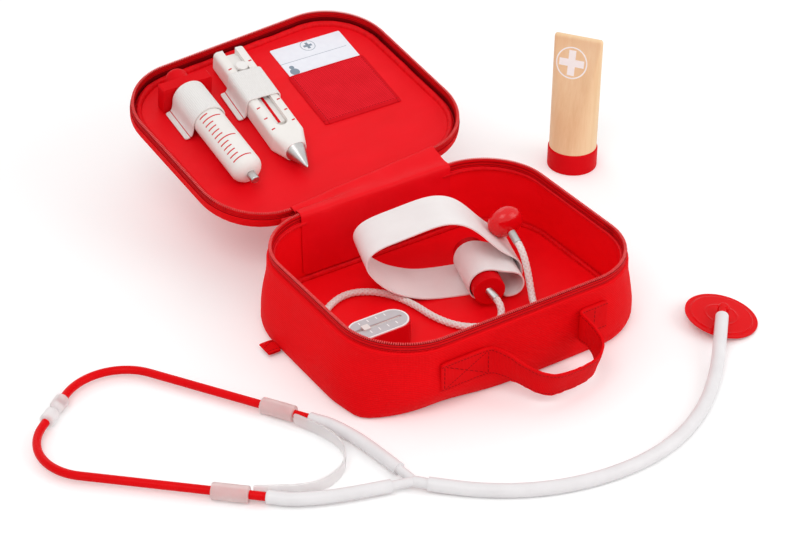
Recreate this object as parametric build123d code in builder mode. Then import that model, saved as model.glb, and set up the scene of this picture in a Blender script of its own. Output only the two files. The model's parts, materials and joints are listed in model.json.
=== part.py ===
"""Toy doctor case: a soft zip case, open, with its play instruments.

Frame: millimetres, +Z up, origin at the middle of the case's underside.
+X runs along the hinge and the handle edge, +Y points from the handle to the hinge.
The lid is drawn shut, in the case's own frame, and then turned open about its hinge.
"""
from build123d import *

import os
from math import cos, pi, radians, sin, tan

os.makedirs("parts", exist_ok=True)

# ---------------------------------------------------------------- shared clearances
running_gap = 0.3  # between pieces of different bodies
seat_gap = 0.1  # between a piece and what it lies on in the same body

# ---------------------------------------------------------------- case
rim_width = 254.0
case_depth = 207.0
rim_corner = 57.0
foot_width = 276.0
foot_corner = 62.0
rim_height = 68.0
wall = 5.0
floor_thick = 5.0
floor_edge_round = 2.5
tape_height = 6.5  # zip tape standing above the folded seam
tape_thick = 3.0
tape_inset = 0.8
coil_width = 2.4
coil_height = 1.2
binding = 4.0  # rolled seam along the foot of the lining
roll_round = 0.4  # share of a rolled seam that its rounding takes
rim_binding = 1.8
rim_binding_height = 3.0

# ---------------------------------------------------------------- lid and hinge
lid_height = 15.0
lid_wall = 4.0
lid_board = 3.5
lid_edge_round = 2.5
lid_angle = 167.0  # how far the lid lies open
hinge_back = 6.5  # hinge line behind the back wall
hinge_yaw = 2.25
hinge_tilt = 1.0
hinge_left = -75.0
hinge_right = 69.0
hinge_roll = 2.6
hinge_cloth = 4.5
hinge_skin = 1.4  # the hinge cloth where it laps the walls
hinge_lap = 6.0
lid_roll = 6.2  # width of the rolled seam round the lid's lining
lid_roll_high = 3.4
lid_band_share = 0.7  # share of the tape's height that shows on the lid

# ---------------------------------------------------------------- carry handle and side tab
strap_width = 24.0
strap_thick = 2.4
left_patch = (-76.0, -30.0)  # ends of the sewn patches, along the front
right_patch = (47.0, 78.0)
handle_height = 33.5
handle_droop = 19.0
strap_neck = 12.0  # pinched stretch beside the sewn patch
strap_neck_height = 4.0
strap_left = -31.0
strap_right = 49.0
strap_out = 38.0
strap_slant = 24.0  # how far along the left side runs as it comes out
strap_turn = 11.0
strap_bulge = 4.0
strap_bulge_out = 24.0
strap_bends = (15.0, 12.0, 9.0)
tab_width = 15.0
tab_out = 8.0
tab_thick = 2.0
tab_height = 3.0
tab_y = 33.0

# ---------------------------------------------------------------- zip slider and pull
slider_from_side = 43.0  # slider to the rim's left side
slider_size = (9.0, 3.6, 9.0)
slider_top = 64.0
slider_round = 0.8
pull_length = 24.0
pull_width = 6.0
pull_thick = 1.4
pull_pin = 0.9

# ---------------------------------------------------------------- syringe (in the lid)
syringe_x = -73.3
syringe_y = -57.0
syringe_yaw = 4.5
barrel_radius = 13.5
barrel_length = 110.0
barrel_round = 9.0
flange_width = 46.0
flange_depth = 25.0
flange_thick = 10.0
flange_round = 1.5
nozzle_radius = 3.8
nozzle_length = 8.5
plunger_radius = 6.0
plunger_reach = 70.0
knob_radius = 10.5
knob_length = 17.0
knob_round = 7.0
elastic_thick = 1.6
elastic_width = 37.0
elastic_tab = 7.0
elastic_tab_thick = 2.4

# ---------------------------------------------------------------- thermometer (in the lid)
thermo_x = -15.0
thermo_y = -83.5
thermo_yaw = 7.5
thermo_width = 29.0
thermo_depth = 20.0
thermo_length = 130.0
thermo_shoulder = 16.0
thermo_round = 4.0
tip_radius = 9.2
tip_length = 20.0
tip_nose = 1.5
groove_width = 12.0
groove_depth = 7.0
groove_length = 106.0
strip_thick = 2.6
strip_start = 6.0
column_width = 2.3
column_thick = 0.5
column_start = 40.0
button_at = 26.0
button_radius = 5.3
button_proud = 2.6
loop_at_thermo = 32.0
loop_at_syringe = 1.5

# ---------------------------------------------------------------- card and pocket (in the lid)
pocket_x = 56.5
pocket_y = -7.0
pocket_yaw = 5.5
pocket_width = 76.0
pocket_length = 67.0
pocket_skin = 0.8
pocket_seam = 1.8
card_width = 71.0
card_length = 85.0
card_thick = 0.5
card_out = 39.0

# ---------------------------------------------------------------- pressure gauge
gauge_right = -44.0
gauge_length = 54.0
gauge_width = 27.0
gauge_y = -11.2
gauge_block = 19.2
gauge_plate = 0.8
gauge_border = 1.2
slot_width = 3.0
slot_depth = 3.4
slot_end = 6.0
marker_size = 6.0
marker_proud = 1.2
marker_x = -82.6
gauge_rows = (-17.0, -5.0)  # the two cord fittings on the gauge's left end
gauge_ferrule_height = 12.0
gauge_ferrule_out = 5.0

# ---------------------------------------------------------------- cuff
cuff_x = 29.6
cuff_y = -17.6
cuff_turn = 71.8  # direction of the roller's axis in plan
roller_radius = 13.0
roller_length = 62.0
sleeve_near = 9.0
cuff_width = 43.0
cuff_cloth = 2.0
band_near = 22.5
band_width = 44.0
lobe_offset = 20.5
sleeve_sink = 0.6  # how far the soft sleeve presses into the band under it
lobe_radius = 12.5
cord_radius = 2.75
ferrule_radius = 3.3
ferrule_length = 11.0
ferrule_seat = 3.0
roller_exit_direction = (0.1, -0.93, -0.35)
roller_round = 1.2

# ---------------------------------------------------------------- bulb
bulb_at = (71.0, 21.4, 52.3)
bulb_direction = (-0.085, -0.927, -0.363)
bulb_radius = 15.0
bulb_half_length = 11.0
bulb_neck_radius = 3.0
bulb_neck_end = 14.5

# ---------------------------------------------------------------- stethoscope
head_x = -319.3
head_y = 49.5
head_turn = -49.6  # direction from the ear tips to the fork
head_height = 6.6
ear_tube_radius = 3.25
ear_bend = 43.8
ear_line = 2.0
ear_shoulder = 69.4
ear_tube_end = (196.0, 44.5)
ear_tip_radius = 5.6
ear_tip_length = 14.5
ear_tip_bore = 4.0
ear_tip_round = 4.6
sleeve_from = 147.0
sleeve_length = 27.0
sleeve_radius = 6.3
sleeve_round = 1.0
strip_height = 10.0
strip_cloth = 1.6
strip_bow = 227.5
boot_radius = 5.0
boot_from = 186.0
boot_straight = 204.0
boot_route = [(226, 34.5), (246.5, 22.3), (266, 9.5)]  # the rest of a boot, along and across
fork_radius = 3.45
fork_stem = 14.0
fork_stem_radius = 4.0
fork_seat = 4.0
hose_radius = 5.25
chest_at = (178.5, -126.2)
chest_radius = 29.5
chest_lean = 9.0
chest_lean_toward = -32.8
chest_rim = 1.0
chest_step = 4.0
chest_crown = 2.2
chest_skin = 0.4
hub_radius = 4.4
hub_height = 9.0
hub_round = 2.0
spigot_radius = 3.0
spigot_length = 20.0
spigot_seat = 8.0
spigot_rise = 6.2
spigot_direction = (-0.68, -0.733, 0)

# ---------------------------------------------------------------- ointment tube
tube_x = 228.0
tube_y = 135.0
tube_turn = -55.6
tube_height = 128.0
tube_radius = 21.3
tube_crimp = 44.0
tube_crimp_thick = 5.0
cap_radius = 22.4
cap_height = 20.0
cap_round = 2.0
crimp_height = 7.0

# ---------------------------------------------------------------- worked-out places
fold_height = rim_height - tape_height - coil_height
lid_low = rim_height + running_gap
lid_top = lid_low + lid_height
lid_inside = lid_top - lid_board
back_y = case_depth / 2
front_y = -case_depth / 2
hinge_y = back_y + hinge_back
hinge_axis = Axis(
    (0, hinge_y, rim_height),
    (
        cos(radians(hinge_yaw)) * cos(radians(hinge_tilt)),
        sin(radians(hinge_yaw)) * cos(radians(hinge_tilt)),
        sin(radians(hinge_tilt)),
    ),
)
inside_floor = floor_thick + running_gap
lid_tape_low = lid_low + coil_height
lid_band_low = lid_tape_low + tape_height * lid_band_share


def outline_at(height):
    """Width and corner radius of the case's outside at a height."""
    share = height / rim_height
    width = foot_width + (rim_width - foot_width) * share
    corner = foot_corner + (rim_corner - foot_corner) * share
    return width, corner


def case_outline(height, inset):
    """The case's plan outline at a height, drawn inside by an inset."""
    width, corner = outline_at(height)
    RectangleRounded(width - 2 * inset, case_depth - 2 * inset, corner - inset)


def rim_ring(outer_inset, inner_inset):
    """A flat ring that follows the rim."""
    RectangleRounded(rim_width - 2 * outer_inset, case_depth - 2 * outer_inset, rim_corner - outer_inset)
    RectangleRounded(
        rim_width - 2 * inner_inset,
        case_depth - 2 * inner_inset,
        rim_corner - inner_inset,
        mode=Mode.SUBTRACT,
    )


def save(name, solid):
    """Label one finished piece and write it to its own file."""
    solid.label = name
    export_step(solid, f"parts/{name}.step")


def save_on_lid(name, solid):
    """Turn a piece drawn in the shut lid to the open lid, and write it."""
    save(name, solid.rotate(hinge_axis, -lid_angle))


def radii_for(points):
    """One bend radius for each corner of a cord's route: 0.45 of the shorter run over the half turn."""
    radii = []
    for before, here, after in zip(points, points[1:], points[2:]):
        run_in = Vector(*here) - Vector(*before)
        run_out = Vector(*after) - Vector(*here)
        turn = run_in.get_angle(run_out)
        radii.append(0.45 * min(run_in.length, run_out.length) / tan(radians(turn / 2)))
    return radii


def cord(name, points, radius, bore=0.0):
    """A cord or hose: a round section along straight runs and tangent arcs."""
    radii = radii_for(points)
    with BuildPart() as piece:
        with BuildLine() as route:
            FilletPolyline(*points, radius=radii)
        start = Plane(origin=route.line @ 0, z_dir=route.line % 0)
        with BuildSketch(start):
            Circle(radius)
            if bore:
                Circle(bore, mode=Mode.SUBTRACT)
        sweep()
    length = sum(edge.length for edge in route.edges())
    section = pi * (radius**2 - bore**2)
    print(name, "length", round(length, 1), "volume share", round(piece.part.volume / (section * length), 4))
    print("   radii", [round(r, 1) for r in radii])
    return piece.part


# ================================================================ case shell
with BuildPart() as base_floor:
    with BuildSketch():
        case_outline(0, 0)
    extrude(amount=floor_thick)
    fillet(base_floor.edges().group_by(Axis.Z)[0], radius=floor_edge_round)
save("base_floor", base_floor.part)

with BuildPart() as base_wall:
    for height in (floor_thick, fold_height):
        with BuildSketch(Plane.XY.offset(height)):
            case_outline(height, 0)
    loft()
    for height in (floor_thick, fold_height):
        with BuildSketch(Plane.XY.offset(height)):
            case_outline(height, wall)
    loft(mode=Mode.SUBTRACT)
save("base_wall", base_wall.part)

with BuildPart() as floor_binding:
    binding_width, binding_corner = outline_at(floor_thick + binding)
    with BuildSketch(Plane.XY.offset(floor_thick)):
        for inset, mode in ((wall + seat_gap, Mode.ADD), (wall + seat_gap + binding, Mode.SUBTRACT)):
            RectangleRounded(
                binding_width - 2 * inset, case_depth - 2 * inset, binding_corner - inset, mode=mode
            )
    extrude(amount=binding)
    fillet(floor_binding.edges().group_by(Axis.Z)[-1], radius=binding * roll_round)
save("floor_binding", floor_binding.part)

with BuildPart() as rim_seam:
    seam_low = fold_height - rim_binding_height
    seam_width, seam_corner = outline_at(fold_height)
    with BuildSketch(Plane.XY.offset(seam_low)):
        for inset, mode in ((wall + seat_gap, Mode.ADD), (wall + seat_gap + rim_binding, Mode.SUBTRACT)):
            RectangleRounded(seam_width - 2 * inset, case_depth - 2 * inset, seam_corner - inset, mode=mode)
    extrude(amount=rim_binding_height)
save("rim_seam", rim_seam.part)

with BuildPart() as base_zip_tape:
    with BuildSketch(Plane.XY.offset(fold_height)):
        rim_ring(tape_inset, tape_inset + tape_thick)
    extrude(amount=tape_height)
save("base_zip_tape", base_zip_tape.part)


def zip_coil(height):
    """One half of the zip: the rim all round, left open along the hinge."""
    middle = tape_inset + tape_thick / 2
    with BuildPart() as coil:
        with BuildSketch(Plane.XY.offset(height)):
            rim_ring(middle - coil_width / 2, middle + coil_width / 2)
            with Locations(((hinge_left + hinge_right) / 2, back_y)):
                Rectangle(hinge_right - hinge_left, 4 * wall, mode=Mode.SUBTRACT)
        extrude(amount=coil_height)
    return coil.part


save("base_zip_coil", zip_coil(rim_height - coil_height))

hinge_length = hinge_right - hinge_left
hinge_middle = hinge_axis.position + hinge_axis.direction * ((hinge_left + hinge_right) / 2)
hinge_plane = Plane(
    origin=hinge_middle,
    x_dir=hinge_axis.direction,
    z_dir=Vector(-hinge_axis.direction.Z, 0, hinge_axis.direction.X),
)
roll_plane = Plane(origin=hinge_middle, z_dir=hinge_axis.direction)


with BuildPart() as hinge_panel:
    with BuildSketch(hinge_plane.offset(-running_gap)):
        with Locations((0, -hinge_back)):
            Rectangle(hinge_length, 2 * hinge_back)
    extrude(amount=-hinge_cloth)
    with BuildSketch(roll_plane.offset(-hinge_length / 2)):
        Circle(hinge_roll)
    extrude(amount=hinge_length)
    with BuildSketch(Plane.XZ.offset(-back_y)):
        with Locations(((hinge_left + hinge_right) / 2, fold_height)):
            Rectangle(hinge_length, 2 * hinge_lap)
    extrude(amount=-hinge_skin)
    with BuildSketch():
        Rectangle(foot_width, case_depth)
    extrude(amount=2 * rim_height, mode=Mode.SUBTRACT)
save("hinge_panel", hinge_panel.part)

with BuildPart() as lid_hinge_flap:
    with BuildSketch(hinge_plane.offset(running_gap)):
        with Locations((0, -hinge_back)):
            Rectangle(hinge_length, 2 * hinge_back)
    extrude(amount=hinge_cloth)
    with BuildSketch(Plane.XZ.offset(-back_y)):
        with Locations(((hinge_left + hinge_right) / 2, lid_band_low)):
            Rectangle(hinge_length, 2 * hinge_lap * 0.7)
    extrude(amount=-hinge_skin)
    with BuildSketch(roll_plane.offset(-hinge_length)):
        Circle(hinge_roll + running_gap)
    extrude(amount=2 * hinge_length, mode=Mode.SUBTRACT)
    with BuildSketch():
        Rectangle(foot_width, case_depth)
    extrude(amount=2 * rim_height, mode=Mode.SUBTRACT)
save_on_lid("lid_hinge_flap", lid_hinge_flap.part)

# ================================================================ carry handle
handle_y = front_y - strap_thick - running_gap - strap_neck_height / 2
handle_plane = Plane(
    origin=(0, handle_y, handle_height),
    x_dir=(1, 0, 0),
    z_dir=(0, -sin(radians(handle_droop)), cos(radians(handle_droop))),
)
with BuildPart() as handle_patches:
    with BuildSketch(Plane.XZ.offset(-front_y)):
        for patch_from, patch_to in (left_patch, right_patch):
            with Locations(((patch_from + patch_to) / 2, handle_height)):
                RectangleRounded(patch_to - patch_from, strap_width, strap_thick)
    extrude(amount=strap_thick)
save("handle_patches", handle_patches.part)

with BuildPart() as carry_handle:
    with BuildSketch(handle_plane.offset(-strap_width / 2)):
        with BuildLine():
            FilletPolyline(
                (strap_left, 0),
                (strap_left + strap_slant, -strap_out),
                (strap_right - strap_turn, -strap_out),
                (strap_right + strap_bulge, -strap_bulge_out),
                (strap_right, 0),
                radius=strap_bends,
            )
        trace(line_width=strap_thick)
    extrude(amount=strap_width)
    for side in (-1, 1):
        with BuildSketch(handle_plane.offset(side * strap_neck_height / 2)):
            with Locations(((strap_left + strap_right) / 2, 0)):
                Rectangle(2 * (strap_right - strap_left), 2 * strap_neck)
        extrude(amount=side * strap_width, mode=Mode.SUBTRACT)
    for root in (strap_left, strap_right):
        with BuildSketch(Plane.YZ.offset(root - 2 * strap_thick)):
            with Locations((handle_y, handle_height)):
                Circle(strap_neck_height / 2)
        extrude(amount=4 * strap_thick)
save("carry_handle", carry_handle.part)

with BuildPart() as side_tab:
    with BuildSketch(Plane.XY.offset(tab_height)):
        with Locations((-foot_width / 2 - tab_out / 2 - seat_gap, tab_y)):
            RectangleRounded(tab_out, tab_width, tab_thick / 2)
    extrude(amount=tab_thick)
save("side_tab", side_tab.part)

# ================================================================ zip slider and its pull
slider_x = slider_from_side - rim_width / 2
slider_y = back_y + seat_gap + slider_size[1] / 2
pull_eye = pull_pin + running_gap
pull_head = pull_eye + pull_thick / 2
pin_y = slider_y + slider_size[1] / 2 + pull_head + running_gap
pin_z = slider_top - slider_size[2] + pull_head
lug_thick = (slider_size[0] - pull_width) / 2 - running_gap
with BuildPart() as zip_slider:
    with BuildSketch(Plane.XY.offset(slider_top - slider_size[2])):
        with Locations((slider_x, slider_y)):
            RectangleRounded(slider_size[0], slider_size[1], slider_round)
    extrude(amount=slider_size[2])
    for side in (-1, 1):
        with BuildSketch(Plane.XZ.offset(-slider_y)):
            with Locations((slider_x + side * (slider_size[0] - lug_thick) / 2, pin_z)):
                Rectangle(lug_thick, 2 * pull_pin)
        extrude(amount=slider_y - pin_y)
    with BuildSketch(Plane.YZ.offset(slider_x - slider_size[0] / 2)):
        with Locations((pin_y, pin_z)):
            Circle(pull_pin)
    extrude(amount=slider_size[0])
save("zip_slider", zip_slider.part)

with BuildPart() as zip_pull:
    with BuildSketch(Plane.YZ.offset(slider_x - pull_width / 2)):
        with Locations((pin_y, pin_z)):
            Circle(pull_head)
        with Locations((pin_y, pin_z - pull_length / 2)):
            Rectangle(pull_thick, pull_length)
        with Locations((pin_y, pin_z)):
            Circle(pull_eye, mode=Mode.SUBTRACT)
    extrude(amount=pull_width)
    fillet(zip_pull.edges().filter_by(Axis.Y).group_by(Axis.Z)[0], radius=pull_width * 0.3)
save("zip_pull", zip_pull.part)

# ================================================================ lid shell
with BuildPart() as lid_panel:
    with BuildSketch(Plane.XY.offset(lid_inside)):
        RectangleRounded(rim_width, case_depth, rim_corner)
    extrude(amount=lid_board)
    fillet(lid_panel.edges().group_by(Axis.Z)[-1], radius=lid_edge_round)
save_on_lid("lid_panel", lid_panel.part)

with BuildPart() as lid_zip_tape:
    with BuildSketch(Plane.XY.offset(lid_tape_low)):
        rim_ring(tape_inset, tape_inset + tape_thick)
    extrude(amount=lid_band_low - lid_tape_low)
save_on_lid("lid_zip_tape", lid_zip_tape.part)

save_on_lid("lid_zip_coil", zip_coil(lid_low))

with BuildPart() as lid_band:
    with BuildSketch(Plane.XY.offset(lid_band_low)):
        rim_ring(0, lid_wall)
    extrude(amount=lid_inside - lid_band_low)
save_on_lid("lid_band", lid_band.part)

with BuildPart() as lid_binding:
    with BuildSketch(Plane.XY.offset(lid_inside - lid_roll_high)):
        rim_ring(lid_wall + seat_gap, lid_wall + seat_gap + lid_roll)
    extrude(amount=lid_roll_high)
    fillet(lid_binding.edges().group_by(Axis.Z)[0], radius=lid_roll * roll_round)
save_on_lid("lid_binding", lid_binding.part)


def tool_frame(x, y, yaw, depth):
    """A frame at a lid tool's front end: Z along the tool towards the hinge, Y away from the lid board."""
    along = Vector(-sin(radians(yaw)), cos(radians(yaw)), 0)
    across = Vector(cos(radians(yaw)), sin(radians(yaw)), 0)
    return Plane(origin=(x, y, lid_inside - seat_gap - depth), x_dir=across, z_dir=along)


# ================================================================ syringe
syringe_frame = tool_frame(syringe_x, syringe_y, syringe_yaw, barrel_radius)
syringe_line = Axis(syringe_frame.origin, syringe_frame.z_dir)
with BuildPart() as syringe_barrel:
    with BuildSketch(syringe_frame):
        Circle(barrel_radius)
    extrude(amount=barrel_length)
    nozzle_end = syringe_barrel.faces().sort_by(syringe_line)[-1]
    fillet(nozzle_end.edges(), radius=barrel_round)
    with BuildSketch(syringe_frame):
        Circle(plunger_radius + running_gap)
    extrude(amount=plunger_reach + 2 * running_gap, mode=Mode.SUBTRACT)
save_on_lid("syringe_barrel", syringe_barrel.part)

with BuildPart() as syringe_nozzle:
    with BuildSketch(syringe_frame.offset(barrel_length)):
        Circle(nozzle_radius)
    extrude(amount=nozzle_length)
    nozzle_face = syringe_nozzle.faces().sort_by(syringe_line)[-1]
    fillet(nozzle_face.edges(), radius=nozzle_radius * 0.35)
save_on_lid("syringe_nozzle", syringe_nozzle.part)

with BuildPart() as syringe_flange:
    with BuildSketch(syringe_frame):
        with Locations((0, flange_depth / 2 - barrel_radius)):
            RectangleRounded(flange_width, flange_depth, flange_round)
        Circle(plunger_radius + running_gap, mode=Mode.SUBTRACT)
    extrude(amount=-flange_thick)
save_on_lid("syringe_flange", syringe_flange.part)

with BuildPart() as plunger:
    with BuildSketch(syringe_frame.offset(-flange_thick - running_gap)):
        Circle(knob_radius)
    extrude(amount=-knob_length)
    knob_face = plunger.faces().sort_by(syringe_line)[0]
    fillet(knob_face.edges(), radius=knob_round)
    with BuildSketch(syringe_frame.offset(-flange_thick - running_gap)):
        Circle(plunger_radius)
    extrude(amount=flange_thick + plunger_reach)
save_on_lid("plunger", plunger.part)

# ================================================================ thermometer
thermo_frame = tool_frame(thermo_x, thermo_y, thermo_yaw, thermo_depth / 2)
thermo_top = Plane(
    origin=thermo_frame.origin + thermo_frame.y_dir * (thermo_depth / 2),
    x_dir=thermo_frame.z_dir,
    z_dir=thermo_frame.y_dir,
)
with BuildPart() as thermo_body:
    body_straight = thermo_length - thermo_shoulder
    with BuildSketch(thermo_frame):
        RectangleRounded(thermo_width, thermo_depth, thermo_round)
    extrude(amount=body_straight)
    with BuildSketch(thermo_frame.offset(body_straight)):
        RectangleRounded(thermo_width, thermo_depth, thermo_round)
    with BuildSketch(thermo_frame.offset(thermo_length)):
        RectangleRounded(2 * tip_radius + 1, thermo_depth - 1.4, 2 * thermo_round)
    loft()
    with BuildSketch(thermo_top):
        with Locations((groove_length / 2 - groove_width / 2, 0)):
            SlotOverall(groove_length + groove_width, groove_width)
    extrude(amount=-groove_depth, mode=Mode.SUBTRACT)
save_on_lid("thermometer_body", thermo_body.part)

with BuildPart() as thermo_tip:
    with BuildSketch(Plane(origin=thermo_frame.origin, x_dir=thermo_frame.x_dir, z_dir=-thermo_frame.y_dir)):
        with BuildLine():
            Polyline(
                (0, thermo_length),
                (tip_radius, thermo_length),
                (tip_nose, thermo_length + tip_length),
                (0, thermo_length + tip_length + tip_nose),
                (0, thermo_length),
            )
        make_face()
    revolve(axis=Axis(thermo_frame.origin, thermo_frame.z_dir))
save_on_lid("thermometer_tip", thermo_tip.part)

groove_floor = thermo_top.offset(-groove_depth)
strip_length = groove_length - strip_start - groove_width * 0.6
with BuildPart() as thermo_strip:
    with BuildSketch(groove_floor.offset(running_gap)):
        with Locations((strip_start + strip_length / 2, 0)):
            RectangleRounded(strip_length, groove_width - 2 * running_gap, 1.5)
    extrude(amount=strip_thick)
    with BuildSketch(groove_floor.offset(running_gap + strip_thick)):
        with Locations((button_at, 0)):
            Circle(button_radius * 0.6)
    extrude(amount=groove_depth - strip_thick - running_gap)
save_on_lid("thermometer_strip", thermo_strip.part)

with BuildPart() as thermo_column:
    column_end = strip_start + strip_length
    with BuildSketch(groove_floor.offset(running_gap + strip_thick)):
        with Locations(((column_start + column_end) / 2, 0)):
            Rectangle(column_end - column_start, column_width)
    extrude(amount=column_thick)
save_on_lid("thermometer_column", thermo_column.part)

with BuildPart() as thermo_button:
    with BuildSketch(thermo_top):
        with Locations((button_at, 0)):
            Circle(button_radius)
    extrude(amount=button_proud)
    fillet(thermo_button.faces().sort_by(Axis(thermo_top.origin, thermo_top.z_dir))[-1].edges(), radius=0.8)
save_on_lid("thermometer_button", thermo_button.part)


# ================================================================ elastic loops
def elastic_loop(frame, start, half_width, height, corner, depth):
    """An elastic band over a tool, sewn down at both sides, with its folded tab on the left."""
    inner_half = half_width + seat_gap
    inner_top = height + seat_gap
    outer_half = inner_half + elastic_thick
    outer_top = inner_top + elastic_thick
    board = -depth
    with BuildPart() as loop:
        with BuildSketch(frame.offset(start)):
            with BuildLine():
                FilletPolyline(
                    (-outer_half, board), (-outer_half, outer_top), (outer_half, outer_top), (outer_half, board),
                    radius=corner + elastic_thick,
                )
                Line((outer_half, board), (-outer_half, board))
            make_face()
            with BuildLine():
                FilletPolyline(
                    (-inner_half, board), (-inner_half, inner_top), (inner_half, inner_top), (inner_half, board),
                    radius=corner,
                )
                Line((inner_half, board), (-inner_half, board))
            make_face(mode=Mode.SUBTRACT)
            with Locations((-outer_half - elastic_tab / 2, board + elastic_tab_thick / 2)):
                Rectangle(elastic_tab, elastic_tab_thick)
        extrude(amount=elastic_width)
    return loop.part


save_on_lid(
    "syringe_loop",
    elastic_loop(syringe_frame, loop_at_syringe, barrel_radius, barrel_radius, barrel_radius - 0.6, barrel_radius),
)
save_on_lid(
    "thermometer_loop",
    elastic_loop(
        thermo_frame, loop_at_thermo, thermo_width / 2, thermo_depth / 2, thermo_round, thermo_depth / 2
    ),
)

# ================================================================ pocket and card
pocket_plane = Plane(
    origin=(pocket_x, pocket_y, lid_inside),
    x_dir=(cos(radians(pocket_yaw)), sin(radians(pocket_yaw)), 0),
    z_dir=(0, 0, -1),
)
card_low = running_gap
pocket_room = card_low + card_thick + running_gap
with BuildPart() as card_pocket:
    with BuildSketch(pocket_plane):
        RectangleRounded(pocket_width, pocket_length, 2)
    extrude(amount=pocket_room + pocket_skin)
    with BuildSketch(pocket_plane):
        with Locations((0, pocket_seam)):
            Rectangle(pocket_width - 2 * pocket_seam, pocket_length)
    extrude(amount=pocket_room, mode=Mode.SUBTRACT)
save_on_lid("card_pocket", card_pocket.part)

with BuildPart() as name_card:
    card_middle = pocket_length / 2 + card_out - card_length / 2
    with BuildSketch(pocket_plane.offset(card_low)):
        with Locations((0, card_middle)):
            RectangleRounded(card_width, card_length, 1.5)
    extrude(amount=card_thick)
save_on_lid("name_card", name_card.part)

# ================================================================ pressure gauge
gauge_middle = gauge_right - gauge_length / 2
gauge_top = inside_floor + gauge_block
slot_low = gauge_right - gauge_length + slot_end
slot_length = gauge_length - 2 * slot_end


def gauge_slot():
    """The marker's slot, open at the gauge's face."""
    with Locations((gauge_middle, gauge_y)):
        SlotOverall(slot_length, slot_width)


with BuildPart() as gauge_body:
    with BuildSketch(Plane.XY.offset(inside_floor)):
        with Locations((gauge_middle, gauge_y)):
            SlotOverall(gauge_length, gauge_width)
    extrude(amount=gauge_block)
    with BuildSketch(Plane.XY.offset(gauge_top)):
        gauge_slot()
    extrude(amount=gauge_plate - slot_depth, mode=Mode.SUBTRACT)
save("gauge_body", gauge_body.part)

with BuildPart() as gauge_face:
    with BuildSketch(Plane.XY.offset(gauge_top)):
        with Locations((gauge_middle, gauge_y)):
            SlotOverall(gauge_length - 2 * gauge_border, gauge_width - 2 * gauge_border)
    extrude(amount=gauge_plate)
    with BuildSketch(Plane.XY.offset(gauge_top)):
        gauge_slot()
    extrude(amount=gauge_plate, mode=Mode.SUBTRACT)
save("gauge_face", gauge_face.part)

with BuildPart() as gauge_marker:
    with BuildSketch(Plane.XY.offset(gauge_top + gauge_plate + running_gap)):
        with Locations((marker_x, gauge_y)):
            RectangleRounded(marker_size, marker_size, 0.5)
    extrude(amount=marker_proud)
    with BuildSketch(Plane.XY.offset(gauge_top + gauge_plate + running_gap)):
        with Locations((marker_x, gauge_y)):
            Circle(slot_width / 2 - running_gap)
    extrude(amount=-(slot_depth - running_gap))
save("gauge_marker", gauge_marker.part)

with BuildPart() as gauge_ferrules:
    for row in gauge_rows:
        with BuildSketch(Plane.YZ.offset(gauge_right - gauge_length - gauge_ferrule_out)):
            with Locations((row, gauge_ferrule_height)):
                Circle(ferrule_radius)
        extrude(amount=gauge_ferrule_out + gauge_width / 4)
    with BuildSketch(Plane.XY.offset(inside_floor)):
        with Locations((gauge_middle, gauge_y)):
            SlotOverall(gauge_length - 2 * ferrule_seat, gauge_width - 2 * ferrule_seat)
    extrude(amount=gauge_block, mode=Mode.SUBTRACT)
save("gauge_ferrules", gauge_ferrules.part)

# ================================================================ cuff: roller, sleeve and band
cuff_along = Vector(cos(radians(cuff_turn)), sin(radians(cuff_turn)), 0)
cuff_across = Vector(sin(radians(cuff_turn)), -cos(radians(cuff_turn)), 0)
roller_height = inside_floor + 2 * cuff_cloth + roller_radius - sleeve_sink
lobe_height = inside_floor + lobe_radius - sleeve_sink
cuff_front = Plane(origin=(cuff_x, cuff_y, 0), x_dir=cuff_across, z_dir=-cuff_along)
cuff_plan = Plane(origin=(cuff_x, cuff_y, 0), x_dir=cuff_across, z_dir=(0, 0, 1))

with BuildPart() as cuff_roller:
    with BuildSketch(cuff_front):
        with Locations((0, roller_height)):
            Circle(roller_radius)
    extrude(amount=-roller_length)
    fillet(cuff_roller.edges(), radius=roller_round)
save("cuff_roller", cuff_roller.part)

# The band's outside, seen along the roller: across from the roller's line, and up.
band_profile = [
    (-46, inside_floor),
    (-53, 7),
    (-60, 11.5),
    (-70, 15.5),
    (-82, 24.5),
    (-92, 37),
    (-96, 46.5),
    (-92, 57),
    (-80, 63),
    (-62, 67.5),
    (-44, 73.5),
    (-30, 75.5),
    (-16, 72.5),
    (-4, 64),
    (10, 48),
    (20, 39),
    (30, 33),
    (34, 24),
    (33, 11),
    (26, inside_floor),
]
band_turns = radii_for(band_profile[-1:] + band_profile + band_profile[:1])
with BuildPart() as cuff_band:
    with BuildSketch(cuff_front.offset(-band_near)):
        with BuildLine():
            FilletPolyline(*band_profile, radius=band_turns, close=True)
        make_face()
        offset(amount=-cuff_cloth, mode=Mode.SUBTRACT)
    extrude(amount=-band_width)
    with BuildSketch(cuff_front.offset(-sleeve_near)):
        with Locations((lobe_offset, lobe_height)):
            Circle(lobe_radius)
        with Locations((0, roller_height)):
            Circle(roller_radius + cuff_cloth)
    extrude(amount=-cuff_width)
    with BuildSketch(cuff_front):
        with Locations((lobe_offset, lobe_height)):
            Circle(lobe_radius - cuff_cloth)
        with Locations((0, roller_height)):
            Circle(roller_radius + seat_gap / 2)
    extrude(amount=-(sleeve_near + cuff_width + 1), mode=Mode.SUBTRACT)
    with BuildSketch():
        Rectangle(foot_width, case_depth)
    extrude(amount=inside_floor, mode=Mode.SUBTRACT)
save("cuff_band", cuff_band.part)

roller_exit = Vector(*roller_exit_direction).normalized()
roller_mouth = Vector(cuff_x, cuff_y, roller_height)
with BuildPart() as roller_ferrule:
    with BuildSketch(Plane(origin=roller_mouth - roller_exit * ferrule_seat, z_dir=roller_exit)):
        Circle(ferrule_radius)
    extrude(amount=ferrule_length)
save("roller_ferrule", roller_ferrule.part)

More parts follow.
